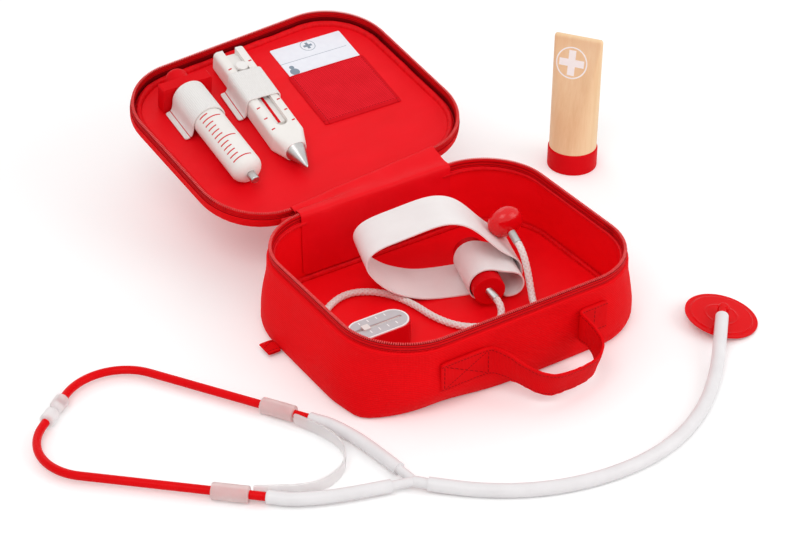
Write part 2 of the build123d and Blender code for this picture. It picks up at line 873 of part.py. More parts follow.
# ================================================================ bulb
neck_line = Vector(*bulb_direction).normalized()
bulb_middle = Vector(*bulb_at)
bulb_side = neck_line.cross(Vector(0, 0, 1)).normalized()
bulb_plane = Plane(origin=bulb_middle, x_dir=bulb_side, z_dir=bulb_side.cross(neck_line))
with BuildPart() as bulb:
    with BuildSketch(bulb_plane):
        Ellipse(bulb_radius, bulb_half_length)
        with Locations((-bulb_radius, 0)):
            Rectangle(2 * bulb_radius, 2 * bulb_radius, mode=Mode.SUBTRACT)
        with Locations((bulb_neck_radius / 2, bulb_neck_end / 2)):
            Rectangle(bulb_neck_radius, bulb_neck_end)
    revolve(axis=Axis(bulb_middle, neck_line))
save("bulb", bulb.part)

with BuildPart() as bulb_ferrule:
    with BuildSketch(Plane(origin=bulb_middle + neck_line * (bulb_neck_end - ferrule_seat), z_dir=neck_line)):
        Circle(ferrule_radius)
    extrude(amount=ferrule_length)
save("bulb_ferrule", bulb_ferrule.part)

# ================================================================ the cuff's two cords
floor_cord = inside_floor + cord_radius
roller_end = roller_mouth + roller_exit * (ferrule_length - ferrule_seat)
roller_on = roller_mouth + roller_exit * (ferrule_length - ferrule_seat + 6)
bulb_end = bulb_middle + neck_line * (bulb_neck_end - ferrule_seat + ferrule_length)
bulb_on = bulb_middle + neck_line * (bulb_neck_end - ferrule_seat + ferrule_length + 8)
gauge_end = gauge_right - gauge_length - gauge_ferrule_out - running_gap
cuff_cord_route = [
    tuple(roller_end),
    tuple(roller_on),
    (28, -37, 9),
    (18, -40.5, floor_cord),
    (4, -37, floor_cord),
    (-9, -25, floor_cord),
    (-17, -6, floor_cord),
    (-20, 16, floor_cord),
    (-28, 38, floor_cord),
    (-42, 53, floor_cord),
    (-59, 58.5, floor_cord),
    (-76, 53, floor_cord),
    (-91, 42, floor_cord),
    (-103, 27, floor_cord),
    (-111.5, 13, floor_cord),
    (-115, 3, 8.7),
    (gauge_end - 8.5, gauge_rows[1] - 0.2, gauge_ferrule_height - 0.5),
    (gauge_end, gauge_rows[1], gauge_ferrule_height),
]
save("cuff_cord", cord("cuff_cord", cuff_cord_route, cord_radius))

bulb_cord_route = [
    tuple(bulb_end),
    tuple(bulb_on),
    (68, -16, 26),
    (65.5, -24, 13.5),
    (60, -36, floor_cord),
    (54, -54, floor_cord),
    (40, -72, floor_cord),
    (12, -84, floor_cord),
    (-24, -84, floor_cord),
    (-58, -80, floor_cord),
    (-88, -66, floor_cord),
    (-104, -50, floor_cord),
    (-112.5, -36, floor_cord),
    (-115, -25.5, 8.8),
    (gauge_end - 8.5, gauge_rows[0] - 0.3, gauge_ferrule_height - 0.5),
    (gauge_end, gauge_rows[0], gauge_ferrule_height),
]
save("bulb_cord", cord("bulb_cord", bulb_cord_route, cord_radius))

# ================================================================ stethoscope headset
# Drawn in its own plane: X from the ear tips to the fork, Y to the right ear.
head_plane = Plane(
    origin=(head_x, head_y, head_height),
    x_dir=(cos(radians(head_turn)), sin(radians(head_turn)), 0),
    z_dir=(0, 0, 1),
)


def head_point(along, out):
    """A point of the headset's plane."""
    return head_plane.from_local_coords(Vector(along, out, 0))


def head_ray(start, end):
    """The direction from one point of the headset's plane to another."""
    return (head_point(*end) - head_point(*start)).normalized()


ear_slope = (ear_tube_end[1] - ear_shoulder) / (ear_tube_end[0] - ear_line)
for side, hand in ((-1, "left"), (1, "right")):
    tip_start = (ear_line, side * running_gap / 2)
    tube_start = (ear_line, side * (running_gap / 2 + ear_tip_length - ear_tip_bore))
    shoulder = (ear_line, side * ear_shoulder)
    tube_end = (ear_tube_end[0], side * ear_tube_end[1])
    out = head_ray(tip_start, shoulder)
    with BuildPart() as ear_tube:
        with BuildLine(head_plane) as ear_route:
            FilletPolyline(tube_start, shoulder, tube_end, radius=ear_bend)
        with BuildSketch(Plane(origin=head_point(*tube_start), z_dir=out)):
            Circle(ear_tube_radius)
        sweep()
    save(f"ear_tube_{hand}", ear_tube.part)

    tip_plane = Plane(origin=head_point(*tip_start), z_dir=out)
    with BuildPart() as ear_tip:
        with BuildSketch(tip_plane):
            Circle(ear_tip_radius)
        extrude(amount=ear_tip_length)
        tip_edges = ear_tip.edges().sort_by(Axis(tip_plane.origin, out))
        fillet(tip_edges[0], radius=ear_tip_round)
        fillet(ear_tip.edges().sort_by(Axis(tip_plane.origin, out))[-1], radius=ear_tip_radius - ear_tube_radius - 0.5)
        with BuildSketch(tip_plane.offset(ear_tip_length - ear_tip_bore)):
            Circle(ear_tube_radius)
        extrude(amount=ear_tip_bore, mode=Mode.SUBTRACT)
    save(f"ear_tip_{hand}", ear_tip.part)

    run = head_ray(shoulder, tube_end)
    sleeve_start = (sleeve_from, side * (ear_shoulder + ear_slope * (sleeve_from - ear_line)))
    with BuildPart() as spring_sleeve:
        with BuildSketch(Plane(origin=head_point(*sleeve_start), z_dir=run)):
            Circle(sleeve_radius)
        extrude(amount=sleeve_length)
        fillet(spring_sleeve.edges(), radius=sleeve_round)
        with BuildSketch(Plane(origin=head_point(*sleeve_start), z_dir=run)):
            Circle(ear_tube_radius)
        extrude(amount=sleeve_length, mode=Mode.SUBTRACT)
    save(f"spring_sleeve_{hand}", spring_sleeve.part)

    boot_start = (boot_from, side * (ear_shoulder + ear_slope * (boot_from - ear_line)))
    boot_on = (boot_straight, side * (ear_shoulder + ear_slope * (boot_straight - ear_line)))
    boot_points = [boot_start, boot_on] + [(along, side * across) for along, across in boot_route]
    boot_path = [tuple(head_point(*point)) for point in boot_points]
    save(f"boot_{hand}", cord(f"boot_{hand}", boot_path, boot_radius, bore=ear_tube_radius + running_gap))

half_strip = [(175, 42.3), (190, 37.8), (212, 29), (222.5, 17)]
strip_points = half_strip + [(strip_bow, 0)] + [(along, -across) for along, across in reversed(half_strip)]
with BuildPart() as spring_strip:
    with BuildSketch(head_plane.offset(-strip_height / 2)):
        with BuildLine():
            FilletPolyline(*strip_points, radius=radii_for(strip_points))
        trace(line_width=strip_cloth)
    extrude(amount=strip_height)
save("spring_strip", spring_strip.part)

arm_from = boot_route[-1]
arm_run = head_ray(boot_route[-2], boot_route[-1])
fork_middle = arm_from[0] + arm_from[1] * (arm_from[0] - boot_route[-2][0]) / (boot_route[-2][1] - arm_from[1])
with BuildPart() as fork:
    for side in (-1, 1):
        arm_end = head_point(arm_from[0], side * arm_from[1])
        middle = head_point(fork_middle, 0)
        arm_line = (middle - arm_end).normalized()
        with BuildSketch(Plane(origin=arm_end - arm_line * fork_seat, z_dir=arm_line)):
            Circle(fork_radius)
        extrude(amount=(middle - arm_end).length + fork_seat)
    with Locations(head_point(fork_middle, 0)):
        Sphere(fork_stem_radius)
    stem_line = head_ray((0, 0), (1, 0))
    with BuildSketch(Plane(origin=head_point(fork_middle, 0), z_dir=stem_line)):
        Circle(fork_stem_radius)
    extrude(amount=fork_stem)
save("fork", fork.part)

# ================================================================ chest piece and main hose
lean = radians(chest_lean)
lean_way = Vector(cos(radians(chest_lean_toward)), sin(radians(chest_lean_toward)), 0)
chest_low = running_gap + chest_radius * sin(lean)
chest_up = lean_way * sin(lean) + Vector(0, 0, cos(lean))
chest_plane = Plane(origin=(chest_at[0], chest_at[1], chest_low), z_dir=chest_up)
hub_base = chest_plane.origin + chest_up * (chest_crown + seat_gap)
spigot_line = Vector(*spigot_direction).normalized()
spigot_height = hub_base.Z + spigot_rise
with BuildPart() as chest_disc:
    with BuildSketch(Plane(origin=chest_plane.origin, x_dir=chest_plane.x_dir, z_dir=-chest_plane.y_dir)):
        with BuildLine():
            Polyline(
                (0, chest_skin),
                (chest_radius - chest_step, chest_skin),
                (chest_radius - chest_step, 0),
                (chest_radius, 0),
                (chest_radius, chest_rim),
                (chest_radius - chest_step, chest_rim),
                (chest_radius - chest_step - 1, chest_crown - 0.4),
                (0, chest_crown),
                (0, chest_skin),
            )
        make_face()
    revolve(axis=Axis(chest_plane.origin, chest_up))
save("chest_disc", chest_disc.part)

with BuildPart() as chest_hub:
    with BuildSketch(Plane(origin=hub_base, z_dir=chest_up)):
        Circle(hub_radius)
    extrude(amount=hub_height)
    fillet(chest_hub.edges().group_by(Axis.Z)[-1], radius=hub_round)
    with BuildSketch(Plane(origin=(hub_base.X, hub_base.Y, spigot_height), z_dir=spigot_line)):
        Circle(spigot_radius)
    extrude(amount=spigot_length)
save("chest_hub", chest_hub.part)

floor_hose = hose_radius + seat_gap / 2
hose_end = Vector(hub_base.X, hub_base.Y, spigot_height) + spigot_line * (spigot_length - spigot_seat)
hose_route = [
    tuple(head_point(fork_middle + fork_stem - fork_seat, 0)),
    (-121.3, -180.6, 6.2),
    (-105.7, -193.9, floor_hose),
    (-86.8, -207.3, floor_hose),
    (-66.1, -218.4, floor_hose),
    (-42.7, -226.8, floor_hose),
    (-16.5, -232.1, floor_hose),
    (12.3, -233.5, floor_hose),
    (40.8, -229.6, floor_hose),
    (69.2, -220, floor_hose),
    (98.7, -203.5, floor_hose),
    (128.3, -179.3, 7.2),
    (150, -157, 12.5),
    tuple(hose_end),
]
save("main_hose", cord("main_hose", hose_route, hose_radius))

# ================================================================ ointment tube
tube_plane = Plane(
    origin=(tube_x, tube_y, 0),
    x_dir=(cos(radians(tube_turn)), sin(radians(tube_turn)), 0),
    z_dir=(0, 0, 1),
)
with BuildPart() as ointment_body:
    with BuildSketch(tube_plane.offset(cap_height)):
        Circle(tube_radius)
    with BuildSketch(tube_plane.offset(tube_height - crimp_height)):
        SlotOverall(tube_crimp, tube_crimp_thick)
    loft(ruled=True)
    with BuildSketch(tube_plane.offset(tube_height - crimp_height)):
        SlotOverall(tube_crimp, tube_crimp_thick)
    extrude(amount=crimp_height)
save("ointment_body", ointment_body.part)

with BuildPart() as ointment_cap:
    with BuildSketch(tube_plane):
        Circle(cap_radius)
    extrude(amount=cap_height)
    fillet(ointment_cap.edges().group_by(Axis.Z)[-1], radius=cap_round)
    fillet(ointment_cap.edges().group_by(Axis.Z)[0], radius=cap_round / 2)
save("ointment_cap", ointment_cap.part)
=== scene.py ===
import json
import math

import bmesh
import bpy
from mathutils import Matrix, Vector, noise

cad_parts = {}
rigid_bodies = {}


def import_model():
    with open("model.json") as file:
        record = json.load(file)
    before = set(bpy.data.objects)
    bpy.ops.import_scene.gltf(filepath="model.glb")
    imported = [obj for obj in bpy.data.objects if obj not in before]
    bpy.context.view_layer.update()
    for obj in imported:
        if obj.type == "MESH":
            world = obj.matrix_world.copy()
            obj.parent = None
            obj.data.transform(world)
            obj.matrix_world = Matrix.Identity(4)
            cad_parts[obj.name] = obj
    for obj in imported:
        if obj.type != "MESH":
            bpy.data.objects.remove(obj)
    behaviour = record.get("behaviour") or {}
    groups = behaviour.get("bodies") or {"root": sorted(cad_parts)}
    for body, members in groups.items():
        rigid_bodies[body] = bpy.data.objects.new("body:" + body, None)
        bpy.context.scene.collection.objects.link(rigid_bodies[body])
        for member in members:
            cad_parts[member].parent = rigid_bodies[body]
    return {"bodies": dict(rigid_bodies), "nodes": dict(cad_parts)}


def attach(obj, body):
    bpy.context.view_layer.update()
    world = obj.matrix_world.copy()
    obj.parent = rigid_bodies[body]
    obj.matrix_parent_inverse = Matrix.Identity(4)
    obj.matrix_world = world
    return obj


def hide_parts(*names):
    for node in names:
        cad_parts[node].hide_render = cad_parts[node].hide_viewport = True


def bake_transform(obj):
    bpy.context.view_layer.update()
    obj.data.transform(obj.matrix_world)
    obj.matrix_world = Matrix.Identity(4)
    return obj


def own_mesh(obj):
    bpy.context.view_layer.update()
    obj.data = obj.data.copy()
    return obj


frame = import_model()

MM = 0.001
TINY = 1e-6
UP = Vector((0, 0, 1))
nodes = frame["nodes"]
known = set(nodes.values()) | set(frame["bodies"].values())
for extra in [obj for obj in bpy.data.objects if obj not in known]:
    bpy.data.objects.remove(extra)
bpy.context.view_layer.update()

# ---- sizes of the case, in millimetres
RIM_WIDTH, RIM_CORNER = 254.0, 57.0
FOOT_WIDTH, FOOT_CORNER = 276.0, 62.0
DEPTH = 207.0
RIM = 68.0
LEAST_CORNER = 7.0
LID_INSIDE = 79.8
HINGE_LEFT, HINGE_RIGHT = -75.0, 69.0
HINGE_AT = Vector((0, 110, 68)) * MM
HINGE_LINE = Vector((0.99908, 0.039254, 0.017452))
LID_TURN = math.radians(-167)
OPEN_LID = (
    Matrix.Translation(HINGE_AT)
    @ Matrix.Rotation(LID_TURN, 4, HINGE_LINE)
    @ Matrix.Translation(-HINGE_AT)
)
SHUT_LID = OPEN_LID.inverted()

# ---- camera
camera = bpy.data.objects.new("camera", bpy.data.cameras.new("camera"))
bpy.context.scene.collection.objects.link(camera)
camera.data.sensor_width = 36
camera.data.lens = 84.42
camera.data.clip_end = 20
camera.location = (-0.69617, -1.01087, 0.86980)
look = Vector((-0.030197, 0.021614, 0.040)) - camera.location
camera.rotation_euler = look.to_track_quat("-Z", "Y").to_euler()
bpy.context.scene.camera = camera


# ---- working with meshes
def nothing_held():
    """Let go of every object."""
    if bpy.context.mode != "OBJECT":
        bpy.ops.object.mode_set(mode="OBJECT")
    bpy.ops.object.select_all(action="DESELECT")


def hold(piece):
    """Hold one object and no other."""
    nothing_held()
    piece.select_set(True)
    bpy.context.view_layer.objects.active = piece


def edit(piece, action="DESELECT"):
    """Open a piece for editing with nothing of it selected, or all of it."""
    hold(piece)
    bpy.ops.object.mode_set(mode="EDIT")
    bpy.ops.mesh.select_all(action=action)


def pick(piece, kind, test):
    """Select the edges or faces of the open piece that pass a test."""
    bpy.ops.mesh.select_mode(type=kind)
    bpy.ops.mesh.select_all(action="DESELECT")
    mesh = bmesh.from_edit_mesh(piece.data)
    for part in mesh.edges if kind == "EDGE" else mesh.faces:
        if test(part):
            part.select_set(True)
    bmesh.update_edit_mesh(piece.data)


def close(piece, angle=35):
    """Finish editing: round shading up to an angle."""
    hold(piece)
    bpy.ops.object.shade_smooth_by_angle(angle=math.radians(angle))
    return piece


def add_modifier(piece, kind, **settings):
    """Add one modifier and apply it."""
    hold(piece)
    made = piece.modifiers.new("shape", kind)
    for key, value in settings.items():
        setattr(made, key, value)
    bpy.ops.object.modifier_apply(modifier=made.name)


def joined(name, pieces):
    """Several meshes as one piece."""
    nothing_held()
    for piece in pieces:
        piece.select_set(True)
    bpy.context.view_layer.objects.active = pieces[0]
    bpy.ops.object.join()
    pieces[0].name = name
    return pieces[0]


def linked(name, data):
    """A new object of the scene."""
    made = bpy.data.objects.new(name, data)
    bpy.context.scene.collection.objects.link(made)
    return made


def placed(piece, matrix):
    """Put a piece's mesh where a matrix says, its object staying at the origin."""
    piece.data.transform(matrix)
    if matrix.determinant() < 0:
        piece.data.flip_normals()
    piece.data.update()
    return piece


def frame_of(first, second, third, at=Vector()):
    """The matrix with three given directions at a place."""
    return Matrix([[first[i], second[i], third[i], at[i]] for i in range(3)] + [[0, 0, 0, 1]])


def soft_noise(place, scale, seed):
    """A smooth number from about -1 to 1 at a place."""
    return noise.noise(Vector(place) * scale + Vector((seed, 2.3 * seed, 0.7 * seed)))


def move_points(piece, *pushes):
    """Move each point of a mesh by what each push gives for its place and its normal."""
    mesh = piece.data
    for push in pushes:
        moves = [push(v.co.copy(), v.normal.copy()) for v in mesh.vertices]
        for vertex, shift in zip(mesh.vertices, moves):
            vertex.co += shift
        mesh.update()


def steps_along(points):
    """How far along its run each of some points lies."""
    ways = [0.0]
    for before, here in zip(points, points[1:]):
        ways.append(ways[-1] + (here - before).length)
    return ways


def finished(piece, *materials):
    """Give a piece its finishes, the first on every face that names no other."""
    piece.data.materials.clear()
    for material in materials:
        piece.data.materials.append(material)
    return piece


def carried(piece, body, slot, *replaced):
    """Attach a piece to the body that carries it, and hide the CAD nodes that it replaces. The slot
    is not used.
    """
    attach(piece, body)
    if replaced:
        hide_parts(*replaced)


# ---- shader maths
def sum_of(operation, turned=False):
    """A way of writing one Math node as a Python sum."""
    def write(value, other):
        return value.finish.maths(operation, *((other, value) if turned else (value, other)))
    return write


class Value:
    """A number or colour on a socket. Sums written with it add the Math nodes."""

    def __init__(self, finish, socket):
        self.finish = finish
        self.socket = socket

    def part(self, output):
        """Another output of the same node."""
        return Value(self.finish, self.socket.node.outputs[output])

    __add__ = __radd__ = sum_of("ADD")
    __mul__ = __rmul__ = sum_of("MULTIPLY")
    __sub__ = sum_of("SUBTRACT")
    __rsub__ = sum_of("SUBTRACT", turned=True)
    __truediv__ = sum_of("DIVIDE")
    __pow__ = sum_of("POWER")
    __lt__ = sum_of("LESS_THAN")
    __gt__ = sum_of("GREATER_THAN")
    most = sum_of("MAXIMUM")
    repeat = sum_of("FLOORED_MODULO")

    def __abs__(self):
        return self.finish.maths("ABSOLUTE", self)

    def wave(self, pitch):
        """A sine from -1 to 1 that repeats at a pitch."""
        return self.finish.maths("SINE", self * (2 * math.pi / pitch))

    def within(self, low, high):
        """1 between two numbers, else 0."""
        return (self > low) * (self < high)

    def near(self, middle, reach):
        """1 within a reach of a number, else 0."""
        return self.within(middle - reach, middle + reach)


def any_of(first, *others):
    """1 where any of some masks is 1."""
    for other in others:
        first = first.most(other)
    return first


def far(across, up):
    """How far a place lies from the middle of two directions."""
    return (across ** 2.0 + up ** 2.0) ** 0.5


def printed_plus(across, up, half, reach):
    """1 on a plus, by the half width of its arms and their reach."""
    return ((abs(across) < half) * (abs(up) < reach)).most((abs(up) < half) * (abs(across) < reach))


class Tree:
    """A node tree. Its nodes come from node()."""

    def __init__(self, tree):
        self.tree = tree

    def node(self, kind, settings=(), inputs=(), output=0):
        """One node of a type, its settings first and then its sockets."""
        made = self.tree.nodes.new(kind)
        for key, value in dict(settings).items():
            setattr(made, key, value)
        for key, value in dict(inputs).items():
            self.join(value, made.inputs[key])
        return Value(self, made.outputs[output])

    def join(self, value, socket):
        """Link a value to a socket, or leave a constant on it."""
        if isinstance(value, Value):
            self.tree.links.new(value.socket, socket)
        else:
            socket.default_value = value

    def maths(self, operation, *values):
        return self.node("ShaderNodeMath", {"operation": operation}, dict(enumerate(values)))

    def looked_at(self):
        """1 on what is seen straight, in a gloss or through a clear piece, else 0."""
        seen = self.node("ShaderNodeLightPath", output="Is Camera Ray")
        return any_of(seen, seen.part("Is Glossy Ray"), seen.part("Is Transmission Ray"))


class Finish(Tree):
    """One material. Its constants stay on its shader."""

    def __init__(self, name, **constants):
        self.material = bpy.data.materials.new(name)
        self.material.use_nodes = True
        super().__init__(self.material.node_tree)
        self.shader = self.tree.nodes["Principled BSDF"]
        for key, value in constants.items():
            self.shader.inputs[key.replace("_", " ")].default_value = value

    def place(self, matrix=None):
        """Places in the object's own space, or in a frame that a matrix sets in it."""
        found = self.node("ShaderNodeTexCoord", output="Object")
        if matrix is None:
            return found
        spot, turn, _ = matrix.decompose()
        return self.node(
            "ShaderNodeMapping",
            {"vector_type": "TEXTURE"},
            {"Vector": found, "Location": spot, "Rotation": turn.to_euler()},
        )

    def split(self, vector):
        """The three numbers of a vector."""
        first = self.node("ShaderNodeSeparateXYZ", (), {"Vector": vector})
        return first, first.part("Y"), first.part("Z")

    def mottle(self, vector, scale, detail=2.0, stretch=None, roughness=0.5):
        """Soft noise from 0 to 1, on places stretched by a scale for each direction on demand."""
        if stretch:
            sockets = {0: vector, 1: stretch}
            vector = self.node("ShaderNodeVectorMath", {"operation": "MULTIPLY"}, sockets)
        return self.node(
            "ShaderNodeTexNoise", (),
            {"Vector": vector, "Scale": scale, "Detail": detail, "Roughness": roughness},
        )

    def mix(self, share, first, second):
        """Two colours mixed by a share."""
        sockets = {0: share, 6: tone(first), 7: tone(second)}
        return self.node("ShaderNodeMix", {"data_type": "RGBA"}, sockets, output=2)

    def made(self, colour, roughness, height=None, distance=0.0003, strength=0.8):
        """The material, with its colour, its roughness and a surface raised by a height."""
        self.join(colour, self.shader.inputs["Base Color"])
        self.join(roughness, self.shader.inputs["Roughness"])
        if height is not None:
            sockets = {"Height": height, "Distance": distance, "Strength": strength}
            self.join(self.node("ShaderNodeBump", (), sockets), self.shader.inputs["Normal"])
        return self.material


def woven(name, specular, scale, detail=3, stretch=None):
    """A finish of cloth: its place, the ways along and across it in metres, and soft clouds."""
    finish = Finish(name, Specular_IOR_Level=specular)
    cloth = finish.node("ShaderNodeUVMap", {"uv_map": "cloth"})
    along, across, _ = finish.split(cloth)
    return finish, cloth, along, across, finish.mottle(cloth, scale, detail, stretch)


def moulded(name, scale, detail=3, **constants):
    """A finish of a hard piece: its place in its own space, and soft clouds."""
    finish = Finish(name, **constants)
    place = finish.place()
    return finish, place, finish.mottle(place, scale, detail)


def tone(colour):
    """Three everyday 0 to 255 numbers, by the sRGB curve, as a colour. Others stay as they are."""
    def straight(c):
        c = c / 255
        return c / 12.92 if c <= 0.04045 else ((c + 0.055) / 1.055) ** 2.4
    if isinstance(colour, Value) or len(colour) == 4:
        return colour
    return (*map(straight, colour), 1.0)


# ---- finishes of cloth
def ribbed_nylon():
    finish, cloth, along, up, clouds = woven("ribbed_nylon", 0.06, 26, 4)
    ribs, warp, worn = up.wave(0.00155), along.wave(0.0011), finish.mottle(cloth, 320)
    share = ribs * 0.2 + warp * 0.07 + clouds * 0.5 + worn * 0.25 + 0.06
    colour = finish.mix(share, (224, 3, 10), (250, 10, 21))
    height = ribs * 0.35 + warp * 0.2 + worn * 0.3 + clouds * 3.0
    return finish.made(colour, clouds * 0.16 + 0.55, height, 0.0004)


def smooth_lining(name, deep, bright):
    finish, cloth, along, up, clouds = woven(name, 0.14, 60)
    threads = along.wave(0.0009) * up.wave(0.0009)
    folds = finish.mottle(cloth, 17, stretch=(1.0, 2.2, 1.0))
    colour = finish.mix(folds * 0.7 + clouds * 0.3, deep, bright)
    height = threads * 0.08 + folds * 4.5 + clouds * 0.8
    return finish.made(colour, clouds * 0.15 + 0.42, height, 0.0004, 0.7)


def rolled_edge():
    finish, _, along, _, pulls = woven("rolled_edge", 0.12, 170, 4, (1.0, 0.22, 1.0))
    # Darker between the puckers: painted shade in their creases.
    colour = finish.mix(pulls, (188, 2, 10), (250, 12, 26))
    height = pulls * 3.2 + along.wave(0.0032) * 0.12
    return finish.made(colour, pulls * 0.2 + 0.4, height, 0.0005, 0.9)


def zip_tape():
    """Twilled tape with painted shade along its sewn grooves at four heights and in the fold below
    its foot.
    """
    finish, _, along, up, clouds = woven("zip_tape_cloth", 0.08, 90, 2)
    weave = (along + up).wave(0.0013) * 0.5 + (along - up).wave(0.0013) * 0.5
    # Dark at the grooves' heights and below the base tape's foot: painted shade in the grooves and
    # in the fold.
    lines = [up.near(height, 0.0004) for height in (0.0623, 0.0649, 0.07095, 0.0727)]
    plain = finish.mix(clouds * 0.6 + weave * 0.2 + 0.2, (200, 2, 10), (232, 10, 20))
    colour = finish.mix(any_of(*lines, up < 0.0609) * 0.75, plain, (120, 1, 6))
    return finish.made(colour, clouds * 0.1 + 0.6, weave * 0.5 + clouds * 0.6)


def dark_binding():
    """Painted shade: a dark cloth for the fold between the zip tape and the rolled seam, where
    shade falls.
    """
    finish, _, along, up, clouds = woven("dark_binding", 0.05, 90)
    weave = (along + up).wave(0.0013)
    colour = finish.mix(clouds * 0.7 + weave * 0.15 + 0.15, (104, 0, 5), (148, 3, 12))
    return finish.made(colour, clouds * 0.1 + 0.65, weave * 0.5 + clouds)


def white_cloth():
    finish, _, along, up, clouds = woven("cuff_cloth", 0.2, 40)
    threads = along.wave(0.0011) * up.wave(0.0011)
    colour = finish.mix(clouds * 0.8 + threads * 0.1, (234, 225, 224), (248, 243, 242))
    return finish.made(colour, clouds * 0.1 + 0.62, threads * 0.3 + clouds * 1.6, strength=0.6)


def white_elastic():
    """Ribbed white elastic with a red thread sewn along its tab."""
    finish, _, along, across, clouds = woven("white_elastic", 0.2, 260, 2)
    ribs, picks = across.wave(0.00125), along.wave(0.0016)
    share = ribs * 0.45 + picks * 0.1 + clouds * 0.3 + 0.4
    plain = finish.mix(share, (234, 229, 225), (250, 248, 246))
    colour = finish.mix(along.near(0.0052, 0.0005), plain, (216, 22, 30))
    height = ribs * 0.8 + picks * 0.25 + clouds * 0.3
    return finish.made(colour, clouds * 0.1 + 0.62, height, 0.00028)


def braid():
    """White cord with painted shade, pinker, in the dips between its strands."""
    finish, _, along, around, clouds = woven("braided_cord", 0.2, 700, 2)
    strands = (along * 0.9 + around).wave(0.00055)
    dips = finish.node("ShaderNodeAttribute", {"attribute_name": "dip"}, output="Fac")
    # The low colours are the painted shade of the dips.
    low = finish.mix(clouds, (230, 200, 193), (242, 224, 218))
    high = finish.mix(clouds, (243, 237, 233), (251, 248, 246))
    height = strands * 0.3 + clouds * 0.4
    return finish.made(finish.mix(dips, high, low), clouds * 0.1 + 0.62, height, 0.00025)


POCKET_WIDTH = 0.076


def dotted_mesh():
    """The pocket's mesh: rows of small dots, a plain hem and a line of stitches at its edges."""
    finish, _, along, across, clouds = woven("dotted_mesh", 0.06, 60)
    dots = (along + across).wave(0.0032) * (along - across).wave(0.0032) > 0.12
    from_middle = abs(across - POCKET_WIDTH / 2)
    dots = dots * (1 - any_of(from_middle > 0.0352, along < 0.0032, along > 0.0655))
    sides = (abs(from_middle - 0.0345) < 0.0003) * (along.wave(0.003) > -0.3)
    stitch = sides.most(along.near(0.0042, 0.0003) * (across.wave(0.003) > -0.3))
    mesh = finish.mix(dots * 0.6 + clouds * 0.4, (196, 3, 14), (252, 40, 56))
    colour = finish.mix(stitch * 0.8, mesh, (160, 2, 10))
    return finish.made(colour, clouds * 0.1 + 0.6, dots * 0.7 + clouds * 0.5 - stitch * 0.8)


STRAP_WIDTH, STRAP_LENGTH = 0.026, 0.2226


def strap_webbing():
    """Nylon webbing: close ribs, stitches along both edges and a sewn box at each end."""
    finish, _, along, across, clouds = woven("strap_webbing", 0.06, 60, 4)
    ribs = along.wave(0.00125) * 0.6 + across.wave(0.0009) * 0.4
    from_middle = abs(across - STRAP_WIDTH / 2)
    from_edge = STRAP_WIDTH / 2 - from_middle
    far_box = along.within(STRAP_LENGTH - 0.0285, STRAP_LENGTH - 0.0025)
    box = along.within(0.0025, 0.0425).most(far_box)
    seams = (0.0028, 0.042, STRAP_LENGTH - 0.0028, STRAP_LENGTH - 0.0285)
    ends = any_of(*[along.near(seam, 0.0004) for seam in seams])
    crossed = abs(abs(along - 0.0224) * 0.53 - from_middle) < 0.0004
    crossed = crossed * along.within(0.0045, 0.0403) * (from_edge > 0.0026) * box
    lines = any_of(from_edge.near(0.0026, 0.00035), ends * (from_edge > 0.0024), crossed)
    dashes = (along + across * 0.7).wave(0.0028) > -0.45
    plain = finish.mix(ribs * 0.18 + clouds * 0.6 + 0.12, (212, 2, 9), (246, 8, 18))
    colour = finish.mix(lines * dashes * 0.75, plain, (140, 2, 8))
    height = ribs * 0.5 + clouds * 1.2 - lines * 1.5
    return finish.made(colour, clouds * 0.12 + 0.58, height, 0.00035, 0.9)


# ---- finishes of hard pieces
def painted(name, deep, bright, rough, specular, coat=0.0, marks=None):
    """Smooth paint or glossy plastic with faint wear, and red marks printed on demand."""
    constants = {"Coat_Weight": coat, "Coat_Roughness": 0.08, "Specular_IOR_Level": specular}
    finish, place, clouds = moulded(name, 45, **constants)
    specks = finish.mottle(place, 900)
    colour = finish.mix(clouds, deep, bright)
    if marks:
        colour = finish.mix(marks(finish), colour, (206, 20, 34))
    rough = clouds * 0.08 + specks * 0.06 + rough
    return finish.made(colour, rough, clouds * 0.8 + specks * 0.08, strength=0.4)


def zip_plastic():
    finish, _, clouds = moulded("zip_plastic", 500, 2, Specular_IOR_Level=0.35)
    # The colour wanders at random from red to pale pink; the pale pink is painted highlight on the
    # teeth.
    return finish.made(finish.mix(clouds, (206, 16, 24), (242, 88, 86)), clouds * 0.1 + 0.26)


def chest_paint():
    """Glossy red plastic with a raised ring part of the way in from its rim."""
    constants = {"Coat_Weight": 0.03, "Coat_Roughness": 0.06, "Specular_IOR_Level": 0.05}
    finish, place, clouds = moulded("chest_paint", 40, **constants)
    sockets = {0: place, 1: (0.1785, -0.1262, 0.0065)}
    reach = finish.node("ShaderNodeVectorMath", {"operation": "DISTANCE"}, sockets, output="Value")
    ring = (1 - abs(reach - 0.013) / 0.0014).most(0.0)
    step = (1 - abs(reach - 0.0252) / 0.0012).most(0.0)
    colour = finish.mix(clouds, (214, 2, 9), (232, 6, 16))
    height = ring * 0.5 + step * 0.5 + clouds * 0.3
    return finish.made(colour, clouds * 0.06 + 0.12, height, 0.0008)


def metal():
    finish, place, clouds = moulded("turned_metal", 120, 2, Metallic=1.0)
    streaks = finish.mottle(place, 500, 3, (1.0, 1.0, 4.0))
    colour = finish.mix(clouds, (172, 170, 168), (212, 210, 208))
    return finish.made(colour, streaks * 0.2 + 0.24, streaks * 0.3, 0.0002, 0.4)


def white_hose():
    constants = {"Coat_Weight": 0.1, "Coat_Roughness": 0.25, "Specular_IOR_Level": 0.3}
    finish, _, clouds = moulded("white_hose", 55, **constants)
    colour = finish.mix(clouds, (220, 216, 217), (237, 234, 235))
    return finish.made(colour, clouds * 0.12 + 0.32, clouds, 0.0004, 0.3)


